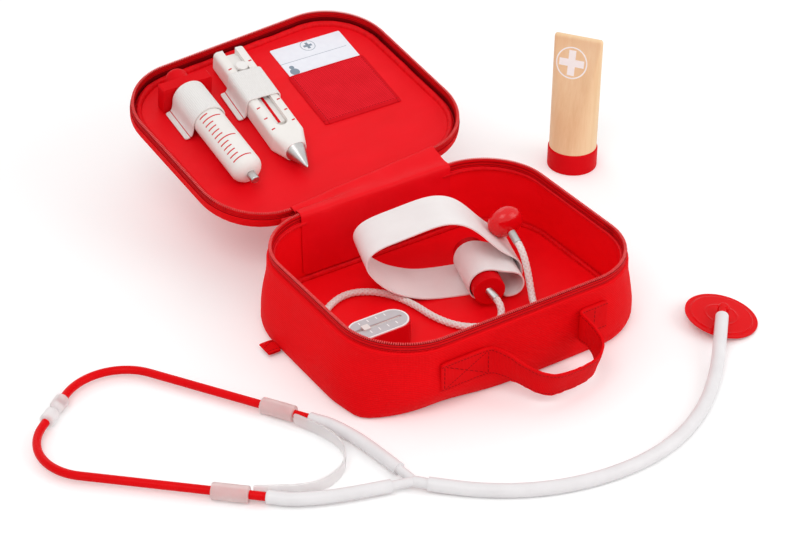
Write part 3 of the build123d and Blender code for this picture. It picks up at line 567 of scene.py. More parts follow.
def milky_plastic(name, deep, bright):
    """Cloudy soft plastic."""
    constants = {"Transmission_Weight": 0.55, "IOR": 1.2, "Specular_IOR_Level": 0.3}
    finish, place, clouds = moulded(name, 70, **constants)
    colour = finish.mix(clouds * 0.7 + finish.mottle(place, 220) * 0.3, deep, bright)
    return finish.made(colour, clouds * 0.12 + 0.3, clouds, 0.0004, 0.3)


GAUGE_Y = 0.0112


def gauge_plate():
    """The gauge's grey plate: a white edge and two rows of white marks."""
    finish, place, clouds = moulded("gauge_plate", 90)
    along, across, _ = finish.split(place)
    past_flats = (abs(along + 0.071) - 0.0135).most(0.0)
    white = far(past_flats, across + GAUGE_Y) > 0.0110
    for start, low, high in ((0.0878, -0.0048, -0.0017), (0.0852, -0.0186, -0.0152)):
        lines = (along + start).repeat(0.00775).within(0.0034, 0.0043)
        row = across.within(low, high) * along.within(0.002 - start, 0.0298 - start)
        white = white.most(lines * row)
    grey = finish.mix(clouds, (186, 186, 189), (202, 202, 205))
    return finish.made(finish.mix(white, grey, (244, 244, 244)), clouds * 0.1 + 0.42)


def gauge_paint():
    """The gauge block's red paint, with the slot's inside left white."""
    finish, place, clouds = moulded("gauge_paint", 45, Specular_IOR_Level=0.15)
    along, across, up = finish.split(place)
    slot = along.within(-0.0935, -0.0485) * (abs(across + GAUGE_Y) < 0.0026)
    red = finish.mix(clouds, (204, 4, 16), (226, 10, 28))
    colour = finish.mix(slot * up.within(0.009, 0.0243), red, (240, 236, 234))
    return finish.made(colour, clouds * 0.1 + 0.4, clouds, strength=0.4)


TUBE_YAW = math.radians(-55.6)


def bare_wood():
    """Pale wood with its grain along the tube, a white ring and plus printed on its front."""
    finish, place, clouds = moulded("bare_wood", 14, 2, Specular_IOR_Level=0.3)
    grain = finish.mottle(place, 170, 4, (1.0, 1.0, 0.055), 0.6)
    fibres = finish.mottle(place, 900, 3, (1.0, 1.0, 0.03))
    share = grain * 0.35 + fibres * 0.15 + clouds * 0.5
    wood = finish.node("ShaderNodeValToRGB", (), {"Fac": share})
    stops = wood.socket.node.color_ramp.elements
    stops.new(0.5)
    shades = (0.2, (226, 180, 130)), (0.5, (242, 206, 162)), (0.8, (250, 226, 190))
    for stop, (at, shade) in zip(stops, shades):
        stop.position, stop.color = at, tone(shade)
    front = Matrix.Translation((0.2259, 0.1381, 0.104)) @ Matrix.Rotation(TUBE_YAW, 4, "Z")
    side, depth, up = finish.split(finish.place(front))
    mark = far(side, up).near(0.0137, 0.0006).most(printed_plus(side, up, 0.0032, 0.0113))
    colour = finish.mix(mark * (depth < 0.0), wood, (254, 252, 250))
    return finish.made(colour, fibres * 0.15 + 0.4, grain * 0.5 + fibres * 0.3, strength=0.5)


def lid_place(x, y, height, yaw, axes):
    """A place in the open lid, its axes chosen from across it, along it and up from it."""
    turn = Matrix.Rotation(math.radians(yaw), 3, "Z")
    across, along = turn @ Vector((1, 0, 0)), turn @ Vector((0, 1, 0))
    return OPEN_LID @ frame_of(*axes(across, along, -UP), Vector((x, y, height)) * MM)


def tool_axes(across, along, up):
    return across, up, along


SYRINGE_AT = lid_place(-73.3, -57, LID_INSIDE - 13.6, 4.5, tool_axes)
THERMOMETER_AT = lid_place(-15, -83.5, LID_INSIDE - 10.1, 7.5, tool_axes)
POCKET_AT = lid_place(56.5, -7, LID_INSIDE, 5.5, lambda across, along, up: (across, -along, up))


def barrel_marks(finish):
    """Twelve marks part of the way round, every fifth one longer."""
    across, up, along = finish.split(finish.place(SYRINGE_AT))
    round_it = finish.maths("ARCTAN2", across, up)
    way, pitch = along - 0.03886, 0.00527
    line = way.repeat(pitch).near(0.00263, 0.00065) * along.within(0.039, 0.1023)
    reach = way.repeat(5 * pitch).within(pitch, 2 * pitch) * 0.72 - 0.3
    return line * (round_it > -0.92) * (round_it < reach)


def thermometer_marks(finish):
    """Four marks on each side of the slot."""
    across, up, along = finish.split(finish.place(THERMOMETER_AT))
    step = (along - 0.0705 + across * 0.21).repeat(0.0141).near(0.0071, 0.00075)
    first = (along + across * 0.2).near(0.0228, 0.0008)
    side = abs(across).within(0.0088, 0.0121)
    return (step * along.within(0.071, 0.111)).most(first) * side * (up > 0.0095)


def card_paper():
    """A card printed with a ring and plus, a ruled line and a small head and shoulders."""
    finish, _, clouds = moulded("card_paper", 200, Specular_IOR_Level=0.3)
    side, out, _ = finish.split(finish.place(POCKET_AT))
    middle, rise, figure = side + 0.0005, out - 0.0655, side + 0.0283
    ring = far(middle, rise).near(0.0067, 0.00035)
    rule = out.near(0.0515, 0.0003) * side.within(-0.0365, 0.031)
    plus = printed_plus(middle, rise, 0.0013, 0.0042)
    head, body = far(figure, out - 0.0447) < 0.0023, far(figure, out - 0.0385) < 0.0044
    mask = any_of(ring.most(rule) * 0.75, plus, head, body)
    plain = finish.mix(clouds, (230, 231, 240), (240, 241, 247))
    return finish.made(finish.mix(mask, plain, (132, 146, 160)), clouds * 0.1 + 0.5)


NYLON = ribbed_nylon()
LINING = smooth_lining("smooth_lining", (222, 3, 12), (244, 12, 30))
# A lighter copy of the lining for the case's inside: painted light for the light that bounces round
# inside it.
LIT_CASE_LINING = smooth_lining("case_lining", (236, 5, 14), (253, 14, 28))
ROLL = rolled_edge()
TAPE = zip_tape()
TEETH = zip_plastic()
GLOSS_RED = painted("gloss_red", (212, 4, 12), (230, 10, 20), 0.12, 0.35, 0.1)
TUBE_RED = painted("tube_red", (212, 4, 10), (230, 8, 16), 0.2, 0.07)
CHEST = chest_paint()
# Painted shade for the lid's fold between its zip tape and its rolled seam.
FOLD_SHADE = dark_binding()
RED_PAINT = painted("red_paint", (204, 3, 12), (226, 8, 22), 0.42, 0.06)
WHITE_PAINT = painted("white_paint", (228, 224, 220), (240, 237, 234), 0.38, 0.2, 0.05)
METAL = metal()
CUFF = white_cloth()
ELASTIC = white_elastic()
BRAID = braid()
HOSE = white_hose()
MILKY = milky_plastic("milky_plastic", (247, 243, 243), (252, 250, 250))
SLEEVE = milky_plastic("milky_sleeve", (244, 212, 210), (252, 244, 243))
GREY = gauge_plate()
GAUGE = gauge_paint()
WOOD = bare_wood()
PAPER = card_paper()
WHITES = (230, 225, 220), (242, 238, 234)
BARREL = painted("barrel_paint", *WHITES, 0.38, 0.25, marks=barrel_marks)
THERMOMETER = painted("thermometer_paint", *WHITES, 0.38, 0.25, marks=thermometer_marks)
MESH = dotted_mesh()
WEBBING = strap_webbing()


# ---- cords
def route_line(name, route):
    """A cord's own smooth line through its route."""
    curve = bpy.data.curves.new(name, "CURVE")
    curve.dimensions = "3D"
    curve.resolution_u = 24
    spline = curve.splines.new("NURBS")
    spline.points.add(len(route) - 1)
    for point, place in zip(spline.points, route):
        point.co = (*place, 1)
    spline.order_u = 3
    spline.use_endpoint_u = True
    return linked(name, curve)


def places_on(name, route, step):
    """Places a step apart along a smooth line through a route."""
    line = route_line(name, route)
    bpy.context.view_layer.update()
    shaped = line.evaluated_get(bpy.context.evaluated_depsgraph_get())
    found = bpy.data.meshes.new_from_object(shaped)
    raw = [v.co.copy() for v in found.vertices]
    bpy.data.meshes.remove(found)
    ways = steps_along(raw)
    count = max(2, round(ways[-1] / step))
    places, at = [], 0
    for i in range(count + 1):
        way = ways[-1] * i / count
        while at < len(raw) - 2 and ways[at + 1] < way:
            at += 1
        share = (way - ways[at]) / max(ways[at + 1] - ways[at], 1e-9)
        places.append(raw[at].lerp(raw[at + 1], min(max(share, 0), 1)))
    bpy.data.objects.remove(line)
    return places


CLOTH_ROUND = 0.016


def tube_along(name, places, sides, radius_at):
    """A closed tube. radius_at gives its radius and dip at a way along it and an angle."""
    up, last = UP, len(places) - 1
    points, dips = [], []
    for i, (place, way) in enumerate(zip(places, steps_along(places))):
        ahead = (places[min(i + 1, last)] - places[max(i - 1, 0)]).normalized()
        if abs(ahead.dot(up)) > 0.999:
            up = Vector((1, 0, 0))
        side = ahead.cross(up).normalized()
        up = side.cross(ahead).normalized()
        for angle in (2 * math.pi * j / sides for j in range(sides)):
            radius, dip = radius_at(way, angle)
            points.append(place + (side * math.cos(angle) + up * math.sin(angle)) * radius)
            dips.append(dip)
    faces = [
        ((i, j), (i, j + 1), (i + 1, j + 1), (i + 1, j)) for i in range(last) for j in range(sides)
    ]
    faces.append([(0, j) for j in reversed(range(sides))])
    faces.append([(last, j) for j in range(sides)])
    mesh = bpy.data.meshes.new(name)
    mesh.from_pydata(points, [], [[i * sides + j % sides for i, j in face] for face in faces])
    corners = [(i * (way / last), j * CLOTH_ROUND / sides) for face in faces for i, j in face]
    for loop, corner in zip(mesh.uv_layers.new(name="cloth").data, corners):
        loop.uv = corner
    mesh.attributes.new("dip", "FLOAT", "POINT").data.foreach_set("value", dips)
    piece = linked(name, mesh)
    edit(piece, "SELECT")
    bpy.ops.mesh.normals_make_consistent(inside=False)
    return close(piece, 60)


STRAND_WAVES, STRAND_TWIST = 4, 1500
CORD_CORE, STRAND_RISE = 0.00236, 0.00054


def plait(way, angle):
    """The bumps of two sets of strands that cross each other all round a cord."""
    turn, twist = STRAND_WAVES * angle, STRAND_TWIST * way
    over = 0.5 + 0.5 * max(math.cos(turn + twist), math.cos(turn - twist))
    return CORD_CORE + STRAND_RISE * over ** 1.4, (1 - over) ** 1.3


def braided_cord(name, route, node):
    """A braided cord on its route."""
    places = places_on(name + "_line", route, 0.00042)
    piece = finished(tube_along(name, places, 40, plait), BRAID)
    carried(piece, "pressure_set", "cord_white", node)


def level(height, *places):
    """Places that lie at one height."""
    return [(x, y, height) for x, y in places]


CORD_LIES = 0.00805
CUFF_CORD = [
    (0.0304, -0.02505, 0.0189), (0.031, -0.03064, 0.01679), (0.028, -0.037, 0.009),
    *level(
        CORD_LIES, (0.018, -0.0405), (0.004, -0.037), (-0.009, -0.025), (-0.017, -0.006),
        (-0.020, 0.016), (-0.028, 0.038), (-0.042, 0.053), (-0.059, 0.0585), (-0.076, 0.053),
        (-0.091, 0.042), (-0.103, 0.027), (-0.1115, 0.013),
    ),
    (-0.115, 0.003, 0.0087), (-0.1118, -0.0052, 0.0115), (-0.1033, -0.005, 0.012),
]
BULB_CORD = [
    (0.06909, 0.00052, 0.04413), (0.06841, -0.0069, 0.04122), (0.068, -0.016, 0.026),
    (0.0655, -0.024, 0.0135),
    *level(
        CORD_LIES, (0.060, -0.036), (0.054, -0.054), (0.040, -0.072), (0.012, -0.084),
        (-0.024, -0.084), (-0.058, -0.080), (-0.088, -0.066), (-0.104, -0.050), (-0.1125, -0.036),
    ),
    (-0.115, -0.0255, 0.0088), (-0.1118, -0.0173, 0.0115), (-0.1033, -0.017, 0.012),
]
MAIN_HOSE = [
    (-0.13104, -0.1717, 0.0066), (-0.1213, -0.1806, 0.0062),
    *level(
        0.0053, (-0.1057, -0.1939), (-0.0868, -0.2073), (-0.0661, -0.2184), (-0.0427, -0.2268),
        (-0.0165, -0.2321), (0.0123, -0.2335), (0.0408, -0.2296), (0.0692, -0.22),
        (0.0987, -0.2035),
    ),
    (0.1283, -0.1793, 0.0072), (0.15, -0.157, 0.0125), (0.17064, -0.1352, 0.01339),
]
HOSE_WIDTH = 0.0105
braided_cord("cuff_cord_braid", CUFF_CORD, "cuff_cord")
braided_cord("bulb_cord_braid", BULB_CORD, "bulb_cord")
hose = route_line("main_hose_tube", MAIN_HOSE)
hose.data.bevel_depth = HOSE_WIDTH / 2
hose.data.bevel_resolution = 8
hose.data.use_fill_caps = True
hose.data.materials.append(HOSE)
carried(hose, "stethoscope", "hose_white", "main_hose")


# ---- loops round the case
def rim_row(inset, height, width=RIM_WIDTH, corner=RIM_CORNER):
    """A loop inside the rim's outline: its width, depth, corner and height."""
    return width - 2 * inset, DEPTH - 2 * inset, max(corner - inset, LEAST_CORNER), height


def base_row(inset, height):
    """A loop inside the base's outline, which widens to the foot."""
    share = height / RIM
    width = FOOT_WIDTH + (RIM_WIDTH - FOOT_WIDTH) * share
    return rim_row(inset, height, width, FOOT_CORNER + (RIM_CORNER - FOOT_CORNER) * share)


def rows_of(make_row, *section):
    """The loops of a section, each point of it an inset and a height."""
    return [make_row(inset, height) for inset, height in section]


def wire_loop(row, number, bends, cuts):
    """One rounded loop of edges, with its number on its points."""
    width, depth, corner, height = (value * MM for value in row)
    nothing_held()
    bpy.ops.mesh.primitive_plane_add(size=1, location=(0, 0, 0))
    loop = bpy.context.object
    edit(loop, "SELECT")
    bpy.ops.transform.resize(value=(width, depth, 1))
    bpy.ops.transform.translate(value=(0, 0, height))
    bpy.ops.mesh.bevel(
        offset=corner, offset_type="OFFSET", segments=bends, affect="VERTICES", clamp_overlap=False,
    )
    bpy.ops.mesh.select_all(action="SELECT")
    bpy.ops.mesh.delete(type="ONLY_FACE")

    def is_straight(edge):
        run = edge.verts[0].co - edge.verts[1].co
        return min(abs(run.x), abs(run.y)) < TINY

    pick(loop, "EDGE", is_straight)
    bpy.ops.mesh.subdivide(number_cuts=cuts)
    nothing_held()
    numbers = loop.data.attributes.new("row", "INT", "POINT")
    numbers.data.foreach_set("value", [number] * len(loop.data.vertices))
    return loop


def lofted(name, rows, bends=12, cuts=14, ring=False):
    """Loops bridged one to the next. A ring joins its last loop to its first, others are filled."""
    piece = joined(name, [wire_loop(row, i, bends, cuts) for i, row in enumerate(rows)])
    edit(piece)
    last = len(rows) - 1

    def pick_rows(*wanted):
        def in_rows(edge):
            layer = bmesh.from_edit_mesh(piece.data).verts.layers.int["row"]
            first, second = (vertex[layer] for vertex in edge.verts)
            return first == second and first in wanted
        pick(piece, "EDGE", in_rows)

    for i in range(last + 1 if ring else last):
        pick_rows(i, (i + 1) % len(rows))
        bpy.ops.mesh.bridge_edge_loops()
    for i in () if ring else (0, last):
        pick_rows(i)
        bpy.ops.mesh.edge_face_add()
    bpy.ops.mesh.select_mode(type="VERT")
    bpy.ops.mesh.select_all(action="SELECT")
    bpy.ops.mesh.remove_doubles(threshold=TINY * 10)
    bpy.ops.mesh.normals_make_consistent(inside=False)
    return close(piece)


FLAT_X, FLAT_Y = (RIM_WIDTH / 2 - RIM_CORNER) * MM, (DEPTH / 2 - RIM_CORNER) * MM
BEND = RIM_CORNER * MM
ROUND = 4 * (FLAT_X + FLAT_Y) + 2 * math.pi * BEND


def way_round(x, y):
    """How far along the rim's outline a place is, from the right side's near end."""
    near_x, near_y = max(-FLAT_X, min(x, FLAT_X)), max(-FLAT_Y, min(y, FLAT_Y))
    turn = math.atan2(y - near_y, x - near_x) % (2 * math.pi)
    straight = (
        FLAT_Y + near_y, 2 * FLAT_Y + FLAT_X - near_x, 3 * FLAT_Y + 2 * FLAT_X - near_y,
        4 * FLAT_Y + 3 * FLAT_X + near_x,
    )
    return BEND * turn + straight[int(turn / (math.pi / 2) + TINY) % 4]


def lay_cloth(piece):
    """Lay the cloth on a piece: along and up its walls, and flat on what lies level."""
    mesh = piece.data
    layer = mesh.uv_layers.new(name="cloth")
    for face in mesh.polygons:
        wall = abs(face.normal.z) < 0.75
        middle = way_round(face.center.x, face.center.y)
        for k in face.loop_indices:
            co = mesh.vertices[mesh.loops[k].vertex_index].co
            if wall:
                way = way_round(co.x, co.y)
                layer.data[k].uv = (way + round((middle - way) / ROUND) * ROUND, co.z)
            else:
                layer.data[k].uv = (co.x, co.y)
    return piece


def choose_finish(piece, choice):
    """Number each face's finish by its middle, in millimetres, and its normal."""
    for face in piece.data.polygons:
        face.material_index = int(choice(face.center / MM, face.normal))


def looks_inwards(centre, normal):
    return normal.x * centre.x + normal.y * centre.y < 0


# ---- case base
base_shell = lofted("base_shell", rows_of(
    base_row, (60, 0.3), (25, 0.15), (8, 0.0), (4.4, 0.5), (2.1, 1.8), (0.7, 4.2),
    *[(0, height) for height in (8, 12, 16, 21, 27, 33, 39, 45, 50, 54, 56.5, 58)],
    (0.25, 58.9), (1.1, 59.6), (1.9, 60.3), (3.4, 60.5), (4.7, 60.1), (5, 59),
    *[(5, height) for height in (56, 51, 45, 38, 31, 24, 17, 11)],
    (5, 5.6), (6, 5.05), (14, 5.0), (28, 4.95), (46, 4.9), (66, 4.85), (84, 4.8),
), bends=14, cuts=20)


def bell(distance, reach):
    """1 at no distance, falling to nothing past a reach."""
    return math.exp(-((distance / reach) ** 2))


def sag_base(place, normal):
    """Soft hollows and puffs of the case wall, none at the rim and the foot."""
    height = place.z / MM
    side = Vector((normal.x, normal.y, 0))
    if height < 6 or height > 59.5 or side.length < 0.5:
        return Vector()
    middle = math.sin(math.pi * (height - 6) / 54)
    swell = (soft_noise(place, 19, 3) * 1.7 + soft_noise(place, 45, 8) * 0.5) * middle
    puff = 1.4 * bell(height - 20, 14) - 0.9 * bell(height - 48, 9)
    side.normalize()
    if looks_inwards(place, side):
        return side * max(-1.2, min(0.15, swell * 0.6 - 0.3)) * MM
    return side * (swell + puff) * MM


def tuck_foot(place, normal):
    """The foot is drawn in at the left of the front and comes to a blunt point at the corner."""
    flat = Vector((place.x, place.y)) / MM
    inwards = Vector((0.1, 0.99, 0)) * 9 * bell((flat - Vector((-76, -99))).length, 40)
    outwards = Vector((-0.95, 0.1, 0)) * 7 * bell((flat - Vector((-119, -80))).length, 17)
    return (inwards + outwards) * bell(place.z / MM, 12) * MM


def inside_base(centre, normal):
    """1 on the floor and the inner wall, else 0."""
    level_face = abs(normal.z) > 0.75 and centre.z < 30
    return centre.z > 4.5 and (level_face or looks_inwards(centre, normal))


move_points(base_shell, sag_base, tuck_foot)
# The inside of the case gets the lighter lining, which is painted light.
finished(lay_cloth(base_shell), NYLON, LIT_CASE_LINING)
choose_finish(base_shell, inside_base)
carried(base_shell, "case", "red_cloth", "base_wall", "base_floor")

floor_roll = lofted("floor_roll", rows_of(
    base_row, (5.1, 5.4), (5.0, 7.0), (5.6, 8.3), (7.0, 8.7), (8.4, 8.0), (9.0, 6.6), (8.6, 5.3),
    (7, 5.0),
), ring=True)
move_points(floor_roll, lambda p, n: n * soft_noise(p, 70, 5) * 0.35 * MM, tuck_foot)
finished(lay_cloth(floor_roll), ROLL)
carried(floor_roll, "case", "red_lining", "floor_binding")

rim_roll = lofted("rim_roll", rows_of(
    base_row, (4.9, 57.4), (4.9, 60.2), (5.6, 60.4), (6.6, 59.9), (6.9, 58.8), (6.4, 57.7),
    (5.6, 57.3),
), ring=True)


def at_hinge(face):
    middle = face.calc_center_median()
    return middle.y > 0 and -0.072 < middle.x < 0.066


edit(rim_roll)
pick(rim_roll, "FACE", at_hinge)
bpy.ops.mesh.delete(type="FACE")
bpy.ops.mesh.select_all(action="SELECT")
bpy.ops.mesh.fill_holes(sides=0)
nothing_held()
finished(close(lay_cloth(rim_roll)), ROLL)
carried(rim_roll, "case", "red_lining", "rim_seam")


def zip_side(name, low, high):
    """One side's zip tape, with its two sewn grooves on each face."""
    run = high - low
    section = (
        (1.9, low), (0.9, low + 0.12 * run), (0.8, low + 0.2 * run), (1.3, low + 0.27 * run),
        (0.8, low + 0.34 * run), (0.8, low + 0.6 * run), (1.3, low + 0.67 * run),
        (0.8, low + 0.74 * run), (0.8, high - 0.3), (1.1, high - 0.1), (3.5, high),
        (3.8, high - 0.3), (3.8, low + 0.5 * run), (3.5, low + 0.43 * run),
        (3.8, low + 0.36 * run), (3.6, low + 0.1),
    )
    return finished(lay_cloth(lofted(name, rows_of(rim_row, *section), ring=True)), TAPE)


TOOTH = (0.00095, 0.0024, 0.0012)
TOOTH_PITCH = 0.0017
TOOTH_INSET = 2.3


def zip_teeth(name, low):
    """Every tooth of one side of the zip, from one tooth copied along the rim."""
    nothing_held()
    bpy.ops.mesh.primitive_cube_add(size=1, location=(0, 0, 0))
    tooth = bpy.context.object
    edit(tooth, "SELECT")
    bpy.ops.transform.resize(value=TOOTH)
    bpy.ops.mesh.bevel(offset=0.0003, segments=1, affect="EDGES")
    nothing_held()
    bend = (RIM_CORNER - TOOTH_INSET) * MM
    quarter = bend * math.pi / 2
    sides = [(FLAT_Y, FLAT_X), (FLAT_X, FLAT_Y)] * 2
    length = sum(2 * half + quarter for half, _ in sides)
    count = round(length / TOOTH_PITCH)
    teeth = []
    for i in range(count):
        way = length * i / count
        for side, (half, out) in enumerate(sides):
            if way < 2 * half + quarter:
                break
            way -= 2 * half + quarter
        angle = max(0, way - 2 * half) / bend
        along = min(way - half, half) + bend * math.sin(angle)
        at = Vector((out + bend * math.cos(angle), along, low * MM + TOOTH[2] / 2))
        place = Matrix.Rotation(math.pi / 2 * side, 4, "Z") @ Matrix.Translation(at)
        x, y, _ = place.translation
        if y < 0 or not HINGE_LEFT * MM < x < HINGE_RIGHT * MM:
            place @= Matrix.Rotation(angle + math.pi / 2, 4, "Z")
            teeth.append(placed(linked(tooth.name, tooth.data.copy()), place))
    bpy.data.objects.remove(tooth)
    return finished(close(joined(name, teeth), 30), TEETH)


carried(zip_side("base_tape", 60.3, 66.8), "case", "red_cloth", "base_zip_tape")
carried(zip_teeth("base_teeth", 66.75), "case", "zip_red", "base_zip_coil")

# ---- lid
lid_shell = lofted("lid_shell", rows_of(
    rim_row, (90, 83.3), (70, 83.29), (45, 83.28), (22, 83.26), (8, 83.24), (2.6, 83.15),
    (0.9, 82.5), (0.1, 81), (0, 78.5), (0, 76), (0.1, 74.4), (0.5, 74.05), (3.5, 74.0), (4, 74.5),
    (4, 77), (4, 79.2), (5, 79.75), (14, 79.8), (26, 79.82), (40, 79.84), (56, 79.86),
    (72, 79.88), (88, 79.9),
), bends=14, cuts=20)


def sag_lid(place, normal):
    """The lid's lining lies in soft waves, and its outside is a little padded."""
    room = MM
    for at, size in ((place.x, RIM_WIDTH), (place.y, DEPTH)):
        room *= min(1, max(0, (size * MM / 2 - abs(at)) / 0.03))
    if place.z / MM < 80 and normal.z < -0.5:
        return UP * soft_noise(place, 26, 4) * 0.35 * room
    if normal.z > 0.5:
        return UP * (1.6 + soft_noise(place, 14, 6)) * room
    return Vector()


def lid_finish(centre, normal):
    """0 outside, 1 on the lining and 2 on the painted shade in the fold between the tape and the
    seam.
    """
    if not 74.2 < centre.z < 80.5 or not (normal.z < -0.5 or looks_inwards(centre, normal)):
        return 0
    return 2 if centre.z < 79.3 else 1


move_points(lid_shell, sag_lid)
finished(lay_cloth(lid_shell), NYLON, LINING, FOLD_SHADE)
choose_finish(lid_shell, lid_finish)
lid_tape = zip_side("lid_tape", 69.5, 74.05)
lid_teeth = zip_teeth("lid_teeth", 68.35)
lid_roll = lofted("lid_roll", rows_of(
    rim_row, (5.3, 79.4), (5.1, 78.0), (5.7, 76.8), (7.1, 76.2), (8.8, 76.7), (10.0, 78.0),
    (10.3, 79.6), (7, 79.9),
), ring=True, cuts=24)
move_points(
    lid_roll,
    lambda p, n: n * (soft_noise(p, 60, 9) * 0.6 + soft_noise(p, 150, 2) * 0.25) * MM,
)
finished(lay_cloth(lid_roll), ROLL)
for piece, slot, *replaced in (
    (lid_shell, "red_cloth", "lid_panel", "lid_band"),
    (lid_tape, "red_cloth", "lid_zip_tape"),
    (lid_teeth, "zip_red", "lid_zip_coil"),
    (lid_roll, "red_lining", "lid_binding"),
):
    carried(placed(piece, OPEN_LID), "lid", slot, *replaced)


# ---- bands of cloth
def band(name, points, across, cuts=0):
    """A band of cloth through points, made by extruding its end run by run."""
    points = [Vector(p) for p in points]
    across = Vector(across)
    nothing_held()
    bpy.ops.mesh.primitive_plane_add(size=1, location=(0, 0, 0))
    piece = bpy.context.object
    piece.name = name
    run = points[1] - points[0]
    middle = (points[0] + points[1] + across) / 2
    placed(piece, frame_of(run, across, run.cross(across).normalized(), middle))
    edit(piece)

    def pick_end(here):
        def at_end(edge):
            gaps = [v.co - here for v in edge.verts]
            return all(min(gap.length, (gap - across).length) < TINY for gap in gaps)
        pick(piece, "EDGE", at_end)

    for here, there in zip(points[1:], points[2:]):
        pick_end(here)
        bpy.ops.mesh.extrude_region_move(TRANSFORM_OT_translate={"value": there - here})
    if cuts:
        pick(piece, "EDGE", lambda e: (e.verts[0].co - e.verts[1].co).cross(across).length < 1e-9)
        bpy.ops.mesh.subdivide(number_cuts=cuts)
    nothing_held()
    layer = piece.data.uv_layers.new(name="cloth")
    ways = steps_along(points)
    unit = across.normalized()
    for corner in piece.data.loops:
        place = piece.data.vertices[corner.vertex_index].co
        gaps = [place - point for point in points]
        row = min(range(len(gaps)), key=lambda i: (gaps[i] - unit * gaps[i].dot(unit)).length)
        layer.data[corner.index].uv = (ways[row], gaps[row].dot(unit))
    return piece


def cloth_of(piece, material, rounds, thickness, *pushes, edge=0.0, put=None):
    """Make a band into cloth: rounded by subdivision, moved by each push, then thick."""
    add_modifier(piece, "SUBSURF", levels=rounds, render_levels=rounds)
    move_points(piece, *pushes)
    add_modifier(piece, "SOLIDIFY", thickness=thickness, offset=0)
    if edge:
        add_modifier(piece, "BEVEL", width=edge, segments=2, limit_method="ANGLE")
    if put:
        placed(piece, put)
    return finished(close(piece), material)


# ---- pressure cuff
CUFF_AT = Vector((29.6, -17.6, 0)) * MM
CUFF_TURN = math.radians(71.8)
CUFF_ALONG = Vector((math.cos(CUFF_TURN), math.sin(CUFF_TURN), 0))
CUFF_ACROSS = Vector((math.sin(CUFF_TURN), -math.cos(CUFF_TURN), 0))


def cuff_strip(name, start, width, *run):
    """A strip of the cuff, its run given across the roller and up from the floor."""
    points = [
        CUFF_AT + (CUFF_ALONG * start + CUFF_ACROSS * across + UP * up) * MM for across, up in run
    ]
    return band(name, points, CUFF_ALONG * width * MM)


cuff_band = cloth_of(cuff_strip(
    "cuff_band_cloth", 22.5, 44, (14, 5.9), (0, 5.9), (-24, 5.9), (-46, 6.1), (-60, 11.5),
    (-70, 15.5), (-82, 24.5), (-92, 37), (-96.5, 47), (-92, 57.5), (-80, 63.5), (-62, 68),
    (-44, 74), (-30, 76.5), (-16, 73.5), (-4, 65), (10, 49), (20, 39.5), (30, 33.5), (34.5, 24),
    (33, 11), (26, 6.0), (8, 7.3),
), CUFF, 3, 0.0011, lambda p, n: n * (soft_noise(p, 30, 7) * 0.5) * MM)
cuff_sleeve = cloth_of(cuff_strip(
    "cuff_sleeve", 9, 43, (6, 9.0), (-6, 8.0), (-13.5, 13.5), (-15.6, 22), (-12.5, 32),
    (-3, 37.4), (7, 35.5), (14, 32.2), (22, 31), (29.5, 27), (32.4, 18), (29, 10), (21, 7.4),
    (12, 8.4),
), CUFF, 3, 0.0011)
carried(cuff_band, "pressure_set", "cuff_white", "cuff_band")
carried(cuff_sleeve, "pressure_set", "cuff_white")
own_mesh(cuff_band)


# ---- hinge cloth
def to_the_lid(place, normal):
    """Skew a band's far part with the lid, whose hinge line runs a little off the case's."""
    share = min(1, max(0, (place.y - 0.106) / 0.008))
    flat = SHUT_LID @ Vector((0, place.y, place.z))
    flat.x += place.x
    return (OPEN_LID @ flat - place) * share * share * (3 - 2 * share)


def ruffle(place, normal):
    """Small soft folds of the hinge lining."""
    long_folds = soft_noise((place.x * 0.4, place.y, place.z), 120, 5)
    return normal * (long_folds + soft_noise(place, 40, 2)) * 0.35 * MM


def hinge_cloth(name, node, material, length, thickness, pushes, *run):
    """A sheet across the hinge, its run given back from the middle and up from the floor."""
    points = [Vector((HINGE_LEFT, y, z)) * MM for y, z in run]
    sheet = band(name, points, Vector((HINGE_RIGHT - HINGE_LEFT, 0, 0)) * MM, cuts=18)
    cloth_of(sheet, material, 1, thickness, *pushes, to_the_lid)
    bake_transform(sheet)
    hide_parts(node)


hinge_cloth(
    "hinge_lining", "hinge_panel", LINING, 0.0925, 0.0006, [ruffle],
    (97.9, 9.5), (97.9, 16), (97.9, 24), (97.9, 32), (97.9, 40), (97.9, 48), (97.9, 55),
    (97.9, 60.5), (98.1, 64.5), (98.9, 67.3), (101, 67.9), (104.5, 67.8), (108, 67.7),
    (111, 67.9), (114, 68.5), (116.5, 69.2), (119.3, 70.1), (121.3, 69.6), (122.0, 67.2),
    (122.8, 63.2), (123.3, 61.5),
)
hinge_cloth(
    "hinge_back", "lid_hinge_flap", NYLON, 0.036, 0.001, [],
    (104.3, 48), (104.3, 54), (104.5, 59), (105.6, 62.8), (107.6, 65), (110.2, 65.6), (113, 65),
    (115.6, 63.2), (117.3, 60.5), (118.4, 56), (119.4, 51.5),
)

# ---- card pocket
POCKET_RUN = (
    (-33.5, 0.35), (-32.8, 0.9), (-31.2, 1.4), (-26, 1.5), (-20, 1.55), (-13, 1.6),
    *[(y, 1.65) for y in (-6, 1, 8, 15, 22, 28, 31.5, 33.5)],
)
HALF_POCKET = POCKET_WIDTH / MM / 2
card_pocket = band(
    "card_pocket_mesh", [Vector((-HALF_POCKET, y, z)) * MM for y, z in POCKET_RUN],
    (POCKET_WIDTH, 0, 0), cuts=30,
)


def sew_down(place, normal):
    """The pocket's sides come down to the lining, and its middle is slack."""
    from_side = HALF_POCKET - abs(place.x) / MM
    low = max(0.0, 1 - from_side / 2.3)
    slack = min(1, from_side / 20) * min(1, (place.y / MM + 33.5) / 20)
    rise = (0.35 + soft_noise(place, 60, 3) * 0.2) * slack
    return UP * (rise - low * (place.z / MM - 0.35)) * MM


